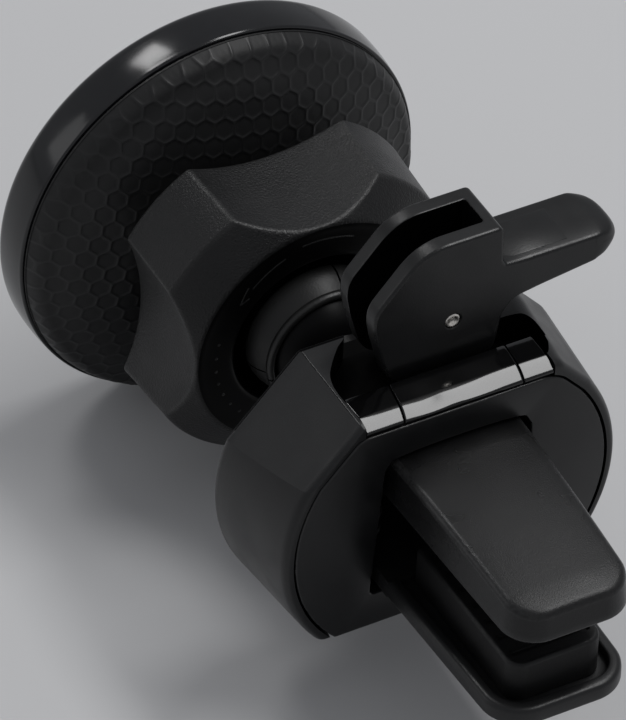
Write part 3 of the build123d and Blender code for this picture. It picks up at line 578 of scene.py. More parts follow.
def build_dome():
    yf = dome_curve()
    P, TH = 2.592, math.radians(-170.2)
    a = P * np.array([math.cos(TH), math.sin(TH)])
    b = P * np.array([math.cos(TH + math.radians(60)), math.sin(TH + math.radians(60))])
    org = np.array([8.775, 21.606])
    R_OUT, R_IN = 27.42, 11.9
    # planar hexagon mesh: every cell is a fan of rings, its outer ring shared with its neighbours
    verts, ridge, faces = [], [], []
    key = {}

    def vid(p, rd):
        k = (round(p[0] * 2000), round(p[1] * 2000))
        if k not in key:
            key[k] = len(verts)
            verts.append(p)
            ridge.append(rd)
        return key[k]

    inr = P / 2                      # hexagon's inner radius
    half = 0.10                      # half of a ridge's flat top
    slope = 0.12                     # its sloping side
    ks = 4                           # points along each side
    cells = []
    for i in range(-30, 31):
        for j in range(-30, 31):
            c = org + i * a + j * b
            if R_IN - P < np.hypot(*c) < R_OUT + P:
                cells.append(c)
    for c in cells:
        rings = []
        for d, rd, rnd in ((0.0, 1.0, 0.0), (half, 1.0, 0.10), (half + slope * 0.5, 0.5, 0.22), (half + slope, 0.0, 0.34),
                           (half + slope + 0.3, 0.0, 0.5), (inr * 0.68, 0.0, 0.8)):
            ring = []
            rr = (inr - d) / inr
            for s in range(6):
                v0 = TH + math.radians(30 + 60 * s)
                v1 = TH + math.radians(90 + 60 * s)
                RO = P / math.sqrt(3)
                p0 = np.array([math.cos(v0), math.sin(v0)]) * RO
                p1 = np.array([math.cos(v1), math.sin(v1)]) * RO
                for t in range(ks):
                    q = p0 + (p1 - p0) * t / ks
                    q = q * rr
                    # round the corners of inner rings towards a circle
                    if rnd:
                        lq = np.hypot(*q)
                        target = inr * rr * 1.035
                        q = q * (1 + (min(target, lq) / lq - 1) * min(1.0, rnd * 1.5))
                    ring.append(vid(c + q, rd))
            rings.append(ring)
        n = len(rings[0])
        for k in range(len(rings) - 1):
            for t in range(n):
                u = (t + 1) % n
                faces.append((rings[k][t], rings[k][u], rings[k + 1][u], rings[k + 1][t]))
        cen = vid(c, 0.0)
        for t in range(n):
            faces.append((rings[-1][t], rings[-1][(t + 1) % n], cen))
    V = np.array(verts)
    bm = bmesh.new()
    lay = bm.verts.layers.float.new("ridge")
    bvs = [bm.verts.new((p[0], 0.0, p[1])) for p in V]
    for bv, rd in zip(bvs, ridge):
        bv[lay] = rd
    for fc in faces:
        if len(set(fc)) > 2:
            try:
                bm.faces.new([bvs[i] for i in fc])
            except ValueError:
                pass
    # clip the sheet to the ring between the hole and the rim: cut along the outer circle with many planes
    NB = 180
    for k in range(NB):
        t = 2 * math.pi * (k + 0.5) / NB
        n_ = Vector((math.cos(t), 0, math.sin(t)))
        near = [v for v in bm.verts if v.is_valid and (v.co.x * n_.x + v.co.z * n_.z) > R_OUT * 0.985]
        geo = set()
        for v in near:
            for fcc in v.link_faces:
                geo.add(fcc)
        g = list(geo)
        ev = set()
        vv = set()
        for fcc in g:
            ev.update(fcc.edges)
            vv.update(fcc.verts)
        bmesh.ops.bisect_plane(bm, geom=g + list(ev) + list(vv), dist=1e-6, plane_co=n_ * R_OUT, plane_no=n_,
                               clear_outer=True)
    # inner hole: drop what lies inside, then add an exact circle by moving the border verts onto it
    kill = [f_ for f_ in bm.faces if math.hypot(f_.calc_center_median().x, f_.calc_center_median().z) < R_IN]
    bmesh.ops.delete(bm, geom=kill, context="FACES")
    bmesh.ops.triangulate(bm, faces=[f_ for f_ in bm.faces if len(f_.verts) > 4])
    for v in bm.verts:
        if any(len(e.link_faces) == 1 for e in v.link_edges):
            r = math.hypot(v.co.x, v.co.z)
            if r < 20:
                s = R_IN / r
                v.co.x *= s
                v.co.z *= s
    bmesh.ops.remove_doubles(bm, verts=bm.verts, dist=2e-3)
    # lift onto the dome
    H = 0.05
    for v in bm.verts:
        r = math.hypot(v.co.x, v.co.z)
        y = float(yf(r))
        dy = float(yf(r + 0.02) - yf(r - 0.02)) / 0.04
        L = math.hypot(1, dy)
        rd = v[lay]
        rd = rd * rd * (3 - 2 * rd)
        edge = min(1.0, max(0.0, (R_OUT - r) / 0.5))
        lift = H * rd * edge - H
        nr, ny = -dy / L, 1 / L
        rn = r + nr * lift
        s = rn / r
        v.co = Vector((v.co.x * s, y + ny * lift, v.co.z * s))
    # skirt: border loops run down behind the rim and into the hole, closed by an inner wall
    def border(bm):
        es = [e for e in bm.edges if len(e.link_faces) == 1]
        outer = [e for e in es if math.hypot(e.verts[0].co.x, e.verts[0].co.z) > 20]
        inner = [e for e in es if math.hypot(e.verts[0].co.x, e.verts[0].co.z) <= 20]
        return outer, inner

    outer, inner = border(bm)
    steps_out = [(-59.15, 27.36), (-59.45, 27.30), (-59.6, 27.10), (-59.6, 25.7)]
    steps_in = [(-52.5, 11.6), (-52.7, 11.5), (-53.9, 11.5), (-53.9, 13.2)]
    under = [(-54.9, 16.6), (-56.0, 20.2), (-57.6, 23.4), (-59.6, 25.7)]

    def run(edges, steps):
        for y, r in steps:
            res = bmesh.ops.extrude_edge_only(bm, edges=edges)
            vs = [g for g in res["geom"] if isinstance(g, bmesh.types.BMVert)]
            edges = [g for g in res["geom"] if isinstance(g, bmesh.types.BMEdge) and len(g.link_faces) == 1]
            for v in vs:
                rr = math.hypot(v.co.x, v.co.z)
                v.co = Vector((v.co.x / rr * r, y, v.co.z / rr * r))
                v[lay] = 0.0
        return edges

    lo_out = run(outer, steps_out)
    lo_in = run(inner, steps_in + under[:-1])
    bmesh.ops.bridge_loops(bm, edges=lo_out + lo_in)
    bmesh.ops.remove_doubles(bm, verts=bm.verts, dist=1e-4)
    bmesh.ops.recalc_face_normals(bm, faces=bm.faces)
    me = bpy.data.meshes.new("dome")
    bm.to_mesh(me)
    bm.free()
    me.transform(Matrix.Translation((0, 0, Z_HEAD)))
    finish_piece("honeycomb_cover", me, HONEY, "head", ["back_cover"], sharp=50, wear_and_highlight=False)


# ---------------------------------------------------------------------------
# lock nut
# ---------------------------------------------------------------------------
def smin(a, b, k):
    h = np.maximum(k - np.abs(a - b), 0) / k
    return np.minimum(a, b) - h * h * k / 4


def build_nut():
    N = 720
    phi = np.arange(N) * 2 * math.pi / N
    D, RS = 45.2, 28.4
    rs = np.full(N, 1e9)
    for k in range(4):
        dlt = phi - k * math.pi / 2
        dlt = (dlt + math.pi) % (2 * math.pi) - math.pi
        disc = RS ** 2 - (D * np.sin(dlt)) ** 2
        ok = (disc > 0) & (np.cos(dlt) > 0)
        r = np.where(ok, D * np.cos(dlt) - np.sqrt(np.maximum(disc, 0)), 1e9)
        rs = np.minimum(rs, r)
    R_REAR, R_CREASE, R_FRONT = 21.7, 21.1, 16.7
    YR, YC, YF = -49.0, -38.0, -34.1
    # outer profile (y, lobe radius, extra inset) from the rear edge to the front edge
    prof = []
    rad = 0.55
    for a in (0, 18, 36, 54, 72, 90):
        t = math.radians(a)
        prof.append((YR + rad * (1 - math.sin(t)), R_REAR, rad * (1 - math.cos(t)) if a > 0 else 0.0))
    prof = [(YR + rad * (1 - math.cos(math.radians(90 - a))), R_REAR, rad * (1 - math.sin(math.radians(90 - a))))
            for a in (90, 72, 54, 36, 18, 0)]
    prof = [(YR + rad * (1 - math.cos(math.radians(a))), R_REAR - rad * (1 - math.sin(math.radians(a))),
             rad * (1 - math.sin(math.radians(a)))) for a in (0, 18, 36, 54, 72, 90)]
    ys = np.linspace(YR + rad, YC - 0.45, 16)[1:]
    for y in ys:
        prof.append((y, R_REAR + (R_CREASE - R_REAR) * (y - YR) / (YC - YR), 0.0))
    # rounded crease between the lobe side and the chamfer
    side = np.array([YC - 0.45, R_CREASE + 0.024])
    k = 12
    cone_pts = np.linspace(0.0, 1.0, 40)
    p0, p1, p2 = side, np.array([YC, R_CREASE]), np.array([YC + 0.36, R_CREASE - (R_CREASE - R_FRONT) * 0.36 / (YF - YC)])
    for t in np.linspace(0, 1, k + 1)[1:]:
        q = (1 - t) ** 2 * p0 + 2 * t * (1 - t) * p1 + t * t * p2
        prof.append((q[0], q[1], 0.0))
    for t in np.linspace(0, 1, 22)[1:]:
        y = p2[0] + (YF - 0.25 - p2[0]) * t
        prof.append((y, R_CREASE - (R_CREASE - R_FRONT) * (y - YC) / (YF - YC), 0.0))
    # small roll-over into the flat front
    ye, re = prof[-1][0], prof[-1][1]
    for y, r in ((YF - 0.12, re - 0.20), (YF - 0.04, re - 0.38), (YF, re - 0.60)):
        prof.append((y, r, 0.0))
    rings = []
    wear_and_highlight = []
    for y, R, ins in prof:
        base = smin(np.full(N, R + (0 if ins == 0 else 0)), np.where(rs > 1e8, 1e3, rs - ins), 0.38)
        rings.append(np.c_[base * np.cos(phi), np.full(N, y), Z_HEAD + base * np.sin(phi)])
    # inner rings, a plain revolve: front face, hole, cone, bore, pocket
    inner = [(YF, 15.9), (YF - 0.03, 15.6), (YF - 0.06, 15.2), (YF - 0.06, 14.2), (YF - 0.06, 13.0),
             (YF - 0.06, 12.2), (YF - 0.08, 11.8), (YF - 0.16, 11.55),
             (YF - 0.32, 11.36), (-35.2, 11.1), (-36.4, 10.55), (-37.5, 10.05), (-37.6, 10.0), (-38.3, 10.0), (-38.45, 10.05),
             (-41.0, 11.23), (-42.0, 11.23), (-48.7, 11.23), (-49.0, 11.5), (-49.0, 12.6), (-48.8, 12.8), (-41.7, 12.8),
             (-41.5, 13.0), (-41.5, 14.8), (-41.7, 15.0), (-48.8, 15.0), (-49.0, 15.2)]
    for y, r in inner:
        rings.append(np.c_[r * np.cos(phi), np.full(N, y), Z_HEAD + r * np.sin(phi)])
    verts, faces = loft_rings(rings, False, False)
    m = len(rings)
    for i in range(N):
        j = (i + 1) % N
        faces.append(((m - 1) * N + i, (m - 1) * N + j, j, i))
    me = make_mesh("nut", verts, faces)
    # front face and bore get a darker, low-spec material, which in the bore is painted shade
    n_out = len(prof)
    for p in me.polygons:
        c = p.center
        r = math.hypot(c.x, c.z - Z_HEAD)
        if (c.y > -34.36 and r < 16.25) or (r < 11.6):
            p.material_index = 1
    ob = finish_piece("lock_nut_body", me, [NUT, NUT_FACE], "nut", ["lock_nut"], sharp=40)
    mi = [1 if ((p.center.y > -34.36 * MM and math.hypot(p.center.x, p.center.z - Z_HEAD * MM) < 16.25 * MM) or
                math.hypot(p.center.x, p.center.z - Z_HEAD * MM) < 11.6 * MM) else 0 for p in ob.data.polygons]
    ob.data.polygons.foreach_set("material_index", mi)

    # raised turning marks on the front ring: two arcs, an arrow head and a row of dots
    marks = []

    def sector(r0, r1, a0, a1, y0, y1):
        na = max(4, int(abs(a1 - a0) / 1.5))
        top = 0.10
        rings_ = []
        for i in range(na + 1):
            t = math.radians(a0 + (a1 - a0) * i / na)
            e = 0.0 if 0 < i < na else 0.08
            ring = []
            for r, y in ((r0, y0), (r0 + e, y1 - top), (r0 + top + e, y1 - e), (r1 - top - e, y1 - e), (r1 - e, y1 - top),
                         (r1, y0)):
                ring.append((r * math.cos(t), y, Z_HEAD + r * math.sin(t)))
            rings_.append(ring)
        v, f = loft_rings(rings_)
        marks.append(make_mesh("mark", v, f))

    def dot(r, a_, rad_, y0, y1):
        t = math.radians(a_)
        cx, cz = r * math.cos(t), Z_HEAD + r * math.sin(t)
        rings_ = []
        for rr, y in ((rad_, y0), (rad_, y1 - 0.12), (rad_ * 0.85, y1 - 0.03), (rad_ * 0.5, y1)):
            rings_.append([(cx + rr * math.cos(q), y, cz + rr * math.sin(q)) for q in
                           [2 * math.pi * s / 16 for s in range(16)]])
        v, f = loft_rings(rings_)
        marks.append(make_mesh("mark", v, f))

    YB, YT = -34.5, -34.10

    def stroke(path, w, y1):
        """Thin raised line through (radius, angle) points."""
        P = np.array([(r * math.cos(math.radians(t)), r * math.sin(math.radians(t))) for r, t in path])
        d = np.gradient(P, axis=0)
        d /= np.linalg.norm(d, axis=1)[:, None]
        nn = np.c_[-d[:, 1], d[:, 0]]
        rings_ = []
        for q, n_ in zip(P, nn):
            ring = []
            for k, y in ((-w, YB), (-w, y1 - 0.03), (-w * 0.6, y1), (w * 0.6, y1), (w, y1 - 0.03), (w, YB)):
                ring.append((q[0] + n_[0] * k, y, Z_HEAD + q[1] + n_[1] * k))
            rings_.append(ring)
        v, f = loft_rings(rings_)
        marks.append(make_mesh("mark", v, f))

    stroke([(14.8 - 0.4 * k / 20, 80.4 + 28.5 * k / 20) for k in range(21)], 0.11, YT)
    stroke([(13.8 + 0.5 * k / 16, 48.3 + 22.2 * k / 16) for k in range(17)], 0.11, YT)
    stroke([(13.6 + 0.9 * k / 8, 37.4 + 10.4 * k / 8) for k in range(9)], 0.11, YT)
    stroke([(13.6 - 0.5 * k / 5, 37.4 + 5.6 * k / 5) for k in range(6)], 0.11, YT)
    for a_ in (-60, -51, -42, -33, -24, -15, -6, 3, 12):
        dot(13.9, a_, 0.24, YB, YT - 0.01)
    finish_piece("lock_nut_marks", join_meshes(marks), NUT, "nut", sharp=35)


# ---------------------------------------------------------------------------
# clip housing
# ---------------------------------------------------------------------------
def facet_line():
    (x1, z1), (x2, z2) = FACET
    n = math.hypot(x2 - x1, z2 - z1)
    nx, nz = (z1 - z2) / n, (x2 - x1) / n
    return nx, nz, nx * x1 + nz * z1


def section(R, ic=0.0, itop=0.0, ifac=0.0, ibot=0.0, rho=(0.35, 0.35, 0.9), counts=(24, 20, 84, 30), top=TOP_Z, bot=BOT_Z,
            seg=8, half=False):
    """Outline (x, z) of the circle trimmed by the flats, corners rounded, with a fixed number of points."""
    nx, nz, d = facet_line()
    R = R - ic
    top, bot, d = top - itop, bot + ibot, d - ifac
    A = np.array([(d - nz * top) / nx, top])                                     # top / facet
    dc = d - nz * Z_BODY
    hc = math.sqrt(max(R * R - dc * dc, 0.0))
    B = np.array([nx * dc, Z_BODY + nz * dc]) + hc * np.array([nz, -nx])         # facet / circle
    Cc = np.array([math.sqrt(R * R - (bot - Z_BODY) ** 2), bot])                 # circle / bottom
    aB = math.atan2(B[1] - Z_BODY, B[0])
    aC = math.atan2(Cc[1] - Z_BODY, Cc[0])

    def corner(p, din, dout, r):
        """Arc that rounds the corner at p. din points along travel into p, dout out of it."""
        turn = math.acos(max(-1, min(1, float(din @ dout))))
        t = r * math.tan(turn / 2)
        cr = din[0] * dout[1] - din[1] * dout[0]
        nrm = np.array([-din[1], din[0]]) * (1 if cr > 0 else -1)
        c = p - din * t + nrm * r
        s = p - din * t - c
        out = []
        for k in range(seg + 1):
            th = (1 if cr > 0 else -1) * turn * k / seg
            out.append(c + np.array([s[0] * math.cos(th) - s[1] * math.sin(th), s[0] * math.sin(th) + s[1] * math.cos(th)]))
        return out, t

    def circ_dir(a):        # counter-clockwise tangent
        return np.array([-math.sin(a), math.cos(a)])

    nt_, nf, na, nb = counts
    # travel counter-clockwise from the middle of the bottom: +x side first
    pts = []
    e = np.array([1.0, 0.0])
    arcC, tC = corner(Cc, e, circ_dir(aC), rho[2])
    fdir = np.array([-nz, nx])
    arcB, tB = corner(B, circ_dir(aB), fdir, rho[1])
    arcA, tA = corner(A, fdir, -e, rho[0])
    for k in range(nb):
        pts.append(np.array([0.0, bot]) + (arcC[0] - np.array([0.0, bot])) * k / nb)
    pts += arcC
    a0, a1 = aC + tC / R, aB - tB / R
    for k in range(1, na):
        a = a0 + (a1 - a0) * k / na
        pts.append(np.array([R * math.cos(a), Z_BODY + R * math.sin(a)]))
    pts += arcB
    for k in range(1, nf):
        pts.append(arcB[-1] + (arcA[0] - arcB[-1]) * k / nf)
    pts += arcA
    for k in range(1, nt_ + 1):
        pts.append(arcA[-1] + (np.array([0.0, top]) - arcA[-1]) * k / nt_)
    right = pts
    if half:
        return right
    dr = min(d + 1.5, R - 0.15 + nz * Z_BODY)
    other = section(R + ic, ic, itop, ifac - (dr - d), ibot, (3.2, 5.0, rho[2]), counts, TOP_Z, BOT_Z, seg, True)
    left = [np.array([-p[0], p[1]]) for p in other[1:-1]][::-1]
    return np.array(right + left)


def ring_at(y, sec):
    return [(p[0], y, p[1]) for p in sec]


R_REAR, Y_REAR, R_FRONTH = 24.0, -15.4, 22.75
Y_BACK, Y_SEAM = -19.0, -5.6


def r_cone(y):
    return R_REAR + (R_FRONTH - R_REAR) * (y - Y_REAR) / (0 - Y_REAR)


def mark_inside(ob):
    """Second material, the near-black painted shade, on the walls of the cavity, the recess and the jaw's opening."""
    nx, nz, d = facet_line()
    mi = []
    for p in ob.data.polygons:
        c = p.center / MM
        fac = nx * c.x + nz * c.z
        out = (c.y > -1.6 and p.normal.y > 0.12) or c.z > TOP_Z - 0.03 or fac > d - 0.06 or math.hypot(c.x, c.z - Z_BODY) > r_cone(c.y) - 0.7 or c.y < -15.6 \
            or c.y > -0.3 or c.z < BOT_Z + 0.05
        nrm = p.normal
        skin = (nrm.z > 0.9 and c.z > TOP_Z - 0.4) or (nx * nrm.x + nz * nrm.z > 0.97 and fac > d - 0.4) or (
            c.x < -11.0 and nrm.x < -0.02 and nrm.z > 0.2)
        recess = c.z > 12.3 and abs(c.x) < 16.2 and -15.6 < c.y < -2.15 and not skin
        recess = recess or (abs(c.z - 12.4) < 0.05 and nrm.z > 0.9 and abs(c.x) < 16)
        mi.append(1 if (recess or not out) else 0)
    ob.data.polygons.foreach_set("material_index", mi)


def build_housing():
    # rear shell
    rings = []
    for y, ins in ((-19.0, 4.05), (-18.97, 3.85), (-18.88, 3.68), (-18.7, 3.46)):
        rings.append(ring_at(y, section(R_REAR, ins, ins, ins, ins)))
    for t in np.linspace(0, 1, 7)[1:-1]:
        y = -18.7 + (-15.95 + 18.7) * t
        ins = 3.46 + (0.42 - 3.46) * t
        rings.append(ring_at(y, section(R_REAR, ins, ins, ins, ins)))
    for y, ins in ((-15.8, 0.30), (-15.62, 0.17), (-15.4, 0.07), (-15.15, 0.02), (-14.9, 0.0)):
        rings.append(ring_at(y, section(r_cone(max(y, -15.4)), ins, ins, ins, ins)))
    for y in (-13.5, -12.0, -10.5, -9.0, -7.5, -6.4, Y_SEAM):
        rings.append(ring_at(y, section(r_cone(y))))
    v, f = loft_rings(rings)
    me = make_mesh("rear", v, f)
    cuts = []
    # inner cavity
    cav = fillet2d([(XJ + 13.2, -13.4), (XJ + 13.2, 11.4), (XJ - 13.2, 11.4), (XJ - 13.2, -13.4)], 2.0, 6)
    cuts.append(make_mesh("c", *prism(cav, -16.2, Y_SEAM + 1, "y")))
    # cam recess, with rounded walls
    rec = spline2d([(12.75, Y_SEAM + 1), (12.78, -6.4), (12.62, -8.3), (12.0, -10.1), (10.7, -11.9), (8.9, -13.9),
                    (7.05, -15.7), (6.9, -20.0)])
    rec += [(-10.6, -20.0), (-10.6, -11.0)]
    rec += spline2d([(-10.7, -9.95), (-12.4, -9.85), (-14.1, -9.45), (-14.95, -8.2), (-15.1, -6.6), (-15.05, -5.5),
                     (-15.0, Y_SEAM + 1)])
    cuts.append(make_mesh("c", *prism(rec, 12.4, 22.4, "z")))
    cuts.append(make_mesh("c", *prism([(PIN_X + 3.3, PIN_Y - 2.35), (PIN_X + 3.3, PIN_Y + 2.35),
                                       (PIN_X - 3.3, PIN_Y + 2.35), (PIN_X - 3.3, PIN_Y - 2.35)], 10.4, 16.4, "z")))
    for x, z in ((15.0, 4.0), (-15.0, 4.0), (14.6, -8.6), (-14.6, -8.6)):
        cuts.append(make_mesh("c", *prism(arc2d(x, z, 1.15, 0, 360 * 31 / 32, 31), -21, 0, "y")))
        cuts.append(make_mesh("c", *prism(arc2d(x, z, 2.2, 0, 360 * 47 / 48, 47), -21, Y_BACK + 2.4, "y")))
    cuts.append(make_mesh("c", *prism(arc2d(0, Z_HEAD, 2.0, 0, 360 * 31 / 32, 31), -21, Y_BACK + 6.0, "y")))
    me = boolean(me, cuts)
    clean(me)
    ob = finish_piece("rear_shell", me, [SATIN, INNER_SHADE], "clip", ["rear_housing"], sharp=24)
    mark_inside(ob)

    # front shell
    rings = []
    for y, ic, ifl in ((Y_SEAM, 0, 0), (-4.6, 0, 0), (-3.4, 0, 0), (-2.2, 0, 0), (-1.3, 0, 0), (-1.0, 0.005, 0.005),
                       (-0.7, 0.05, 0.05), (-0.45, 0.14, 0.12), (-0.25, 0.27, 0.2), (-0.1, 0.42, 0.3), (-0.02, 0.6, 0.42),
                       (0.0, 0.85, 0.6)):
        rings.append(ring_at(y, section(r_cone(y), ic, ifl, ifl, ifl)))
    v, f = loft_rings(rings)
    me = make_mesh("front", v, f)
    cuts = []
    pocket = plate_outline(0.27, 0.32)
    cuts.append(make_mesh("c", *prism(pocket, -2.22, 1.0, "y")))
    cuts.append(make_mesh("c", *prism(cav, Y_SEAM - 1, 1.0, "y")))
    cuts.append(make_mesh("c", *prism([(12.62, -6.6), (12.62, 1.2), (-13.1, 1.2), (-13.1, -6.6)], 12.7, 22.0, "z")))
    cuts.append(make_mesh("c", *prism([(12.75, Y_SEAM - 1), (12.75, -4.9), (-12.6, -4.9), (-12.6, -2.2), (-13.3, -2.15),
                                          (-13.9, -3.0), (-14.6, -4.3), (-15.05, Y_SEAM - 1)], 12.4, 22.4,
                                      "z")))
    for x, z in ((15.0, 4.0), (-15.0, 4.0), (14.6, -8.6), (-14.6, -8.6)):
        cuts.append(make_mesh("c", *prism(arc2d(x, z, 0.95, 0, 360 * 23 / 24, 23), -8, -3.2, "y")))
    me = boolean(me, cuts)
    clean(me)
    ob = finish_piece("front_bezel", me, [SATIN, INNER_SHADE], "clip", ["front_housing"], sharp=24)
    mark_inside(ob)


def plate_outline(grow=0.0, grow_top=None):
    """Front plate's outline (x, z): circle and flats, top corners well rounded."""
    if grow_top is None:
        grow_top = grow
    nx, nz, d = facet_line()
    R = 21.3 + grow
    top = 15.45 + grow_top
    bot = -16.0 - grow if grow == 0 else -17.5

    def side(dd, r_b, r_a):
        dc = dd - nz * Z_BODY
        hc = math.sqrt(max(R * R - dc * dc, 0.0))
        A = ((dd - nz * top) / nx, top)
        B = (nx * dc + hc * nz, Z_BODY + nz * dc - hc * nx)
        C = (math.sqrt(R * R - (bot - Z_BODY) ** 2), bot)
        aB, aC = math.atan2(B[1] - Z_BODY, B[0]), math.atan2(C[1] - Z_BODY, C[0])
        arc = [(R * math.cos(aC + (aB - aC) * k / 60), Z_BODY + R * math.sin(aC + (aB - aC) * k / 60)) for k in range(60)]
        rad = [0.5] + [0.0] * 59 + [r_b, r_a]
        return fillet2d([(0.0, bot)] + arc + [B, A] + [(0.0, top)], [0.0] + rad + [0.0], 8, closed=False)

    right = side(d - 1.25 + grow, 1.5, 2.6)
    left = side(min(d + 0.25 + grow, R - 0.12 + nz * Z_BODY), 4.0, 4.6)
    return right + [(-x, z) for x, z in left[1:-1][::-1]]


def build_plate():
    me = make_mesh("plate", *prism(plate_outline(), -2.2, 0.0, "y"))
    hole = fillet2d([(XJ + 11.1, -10.8), (XJ + 9.95, 8.9)] +
                    [(XJ + 9.2 * math.cos(math.radians(180 * (0.02 + 0.96 * k / 24))) / math.cos(math.radians(180 * 0.02)),
                      10.2 + 0.75 * math.sin(math.radians(180 * (0.02 + 0.96 * k / 24)))) for k in range(25)] +
                    [(XJ - 9.95, 8.9), (XJ - 11.1, -10.8)],
                    [0.7, 0.6] + [0.0] * 25 + [0.6, 0.7], 6)
    me = boolean(me, [make_mesh("h", *prism(hole, -4, 2, "y"))])
    clean(me)
    me = bevel(me, 0.28, 3, 55)
    clean(me)
    finish_piece("front_face", me, SATIN, "clip", ["front_plate"], sharp=30)


def build_trim():
    # tub of the recess, in the near-black painted-shade material
    tub = fillet2d([(12.7, -4.95), (12.7, -7.6), (12.0, -10.2), (10.1, -12.7), (7.6, -15.0), (7.2, -15.5),
                    (-10.5, -15.5), (-10.5, -9.8), (-12.9, -9.4), (-14.3, -8.7), (-15.0, -7.5), (-14.5, -4.95)],
                   [0.3, 1.4, 1.6, 1.6, 0.4, 0.3, 0.3, 0.5, 0.8, 0.9, 0.8, 0.3], 5)
    me = make_mesh("tub", *prism(tub, 12.45, 13.65, "z"))
    me = boolean(me, [make_mesh("c", *prism([(PIN_X + 3.3, PIN_Y - 2.35), (PIN_X + 3.3, PIN_Y + 2.35),
                                             (PIN_X - 3.3, PIN_Y + 2.35), (PIN_X - 3.3, PIN_Y - 2.35)], 10, 16, "z"))])
    clean(me)
    me = bevel(me, 0.15, 2, 50)
    finish_piece("recess_tub", me, INNER_SHADE, "clip", ["top_trim"], sharp=35)

    def strip(name, xl, xr, ztop, seed, amp, nodes=(), wave=()):
        """Strip along X with an elliptical front edge. xl and xr give the end as functions of y."""
        zb, zstep = 12.78 if not nodes else 13.7, 15.90
        # front edge: a long, gently curved slope between two tighter turns
        arc, rz = [], ztop - 16.05
        for p0, p1, L, n in ((0, 9, 0.25, 3), (9, 37, 2.3, 16), (37, 90, 0.35, 8)):
            for k in range(n):
                arc.append((math.radians(p0 + (p1 - p0) * (k + 0.5) / n), L / n))
        gy = sum(l * math.cos(t) for t, l in arc)
        gz = sum(l * math.sin(t) for t, l in arc)
        ry = gy * rz / gz
        pr = [(-5.8, zb), (-5.8, ztop - 0.25), (-5.72, ztop - 0.07), (-5.55, ztop), (-4.6, ztop), (-3.7, ztop), (-3.0, ztop)]
        y, z = -ry, ztop
        pr.append((y, z))
        for t, l in arc:
            y, z = y + l * math.cos(t) * rz / gz, z - l * math.sin(t) * rz / gz
            pr.append((y, z))
        pr += [(-0.02, zstep + 0.04), (-0.08, zstep), (-1.0, zstep), (-2.24, zstep), (-2.24, zb)]
        nu = 80
        rings = []
        us = np.linspace(0, 1, nu + 1)
        e = 0.08
        for k, u in enumerate(us):
            ring = []
            for y, z in pr:
                a, b_ = xl(y), xr(y)
                x = a + (b_ - a) * u
                dz = dy = 0.0
                if z > ztop - rz - 0.01 and y > -4.8:
                    w = min(1.0, (y + 4.8) / 2.4)
                    p = np.array([[x, y * 0.35]])
                    dz = amp * w * float(smooth_noise(p, seed, 0.13)[0])
                    for xc, hgt, wid in wave:
                        g = hgt * math.exp(-((x - xc) / wid) ** 2) * w
                        dz += g * min(1.0, max(0.0, (z - (ztop - rz)) / rz))
                        dy -= g * 0.8 * max(0.0, (y + ry) / ry)
                ring.append((x, y + dy - abs(dz) * 0.3, z + dz))
            rings.append(ring)

        # soft ends: first and last rings pulled in a little
        def shrink(ring, amt, dx):
            c = np.mean(np.array(ring), axis=0)
            out = []
            for p in ring:
                q = np.array(p)
                dv = c - q
                dv[0] = 0
                L = np.linalg.norm(dv)
                q = q + dv / L * amt
                q[0] += dx
                out.append(tuple(q))
            return out
        sgn = 1 if rings[-1][0][0] > rings[0][0][0] else -1
        first = [shrink(rings[0], e, 0.0), shrink(rings[0], e * 0.35, sgn * e * 0.35)]
        last = [shrink(rings[-1], e * 0.35, -sgn * e * 0.35), shrink(rings[-1], e, 0.0)]
        body = [[(p[0] + sgn * e, p[1], p[2]) for p in rings[0]]] + rings[1:-1] + [
            [(p[0] - sgn * e, p[1], p[2]) for p in rings[-1]]]
        v, f = loft_rings(first + body + last)
        me_ = make_mesh(name, v, f)
        finish_piece(name, me_, GLOSS_TRIM, "clip", nodes, sharp=38, wear_and_highlight=False)

    strip("trim_left", lambda y: 12.45, lambda y: 7.5 + (7.5 - 6.6) * y / 5.8, 17.15, 3, 0.012)
    strip("trim_right", lambda y: -8.95 + 0.5 * (-y) / 5.8 * -1, lambda y: -12.95, 17.15, 4, 0.012)
    strip("trim_middle", lambda y: 7.26 + (7.26 - 6.36) * y / 5.8, lambda y: -8.74 + (9.24 - 8.74) * y / 5.8, 17.2, 8,
          0.030, ["trim_bridge"], wave=((3.6, -0.10, 2.2), (-2.6, -0.07, 2.6)))


# ---------------------------------------------------------------------------
# jaws: a closed pillow from a plan outline, rows of insets and a height for each
# ---------------------------------------------------------------------------
def plan_outline(hw, y0, y1, rtip, n_side=40, n_tip=20, n_front=14, rroot=0.3):
    """Outline (x, y) round a jaw, half width hw(y), rounded at the tip, square at the root."""
    pts = []
    ys = np.linspace(y0, y1 - rtip, n_side)
    for y in ys:
        pts.append((hw(y), y))
    xt = hw(y1 - rtip)
    for k in range(1, n_tip + 1):
        a = math.pi / 2 * k / n_tip
        pts.append((xt - rtip + rtip * math.cos(a), y1 - rtip + rtip * math.sin(a)))
    for k in range(1, n_front + 1):
        pts.append(((xt - rtip) * (1 - k / n_front), y1))
    pts = np.array(pts)
    full = np.vstack([pts, (pts * [-1, 1])[::-1][1:]])
    return full


def normals2d(P):
    """Inward normals of an open outline that runs from the +x root round the tip to the -x root."""
    d = np.gradient(P, axis=0)
    d /= np.linalg.norm(d, axis=1)[:, None]
    n = np.c_[-d[:, 1], d[:, 0]]
    n[0] = (-1, 0)
    n[-1] = (1, 0)
    return n


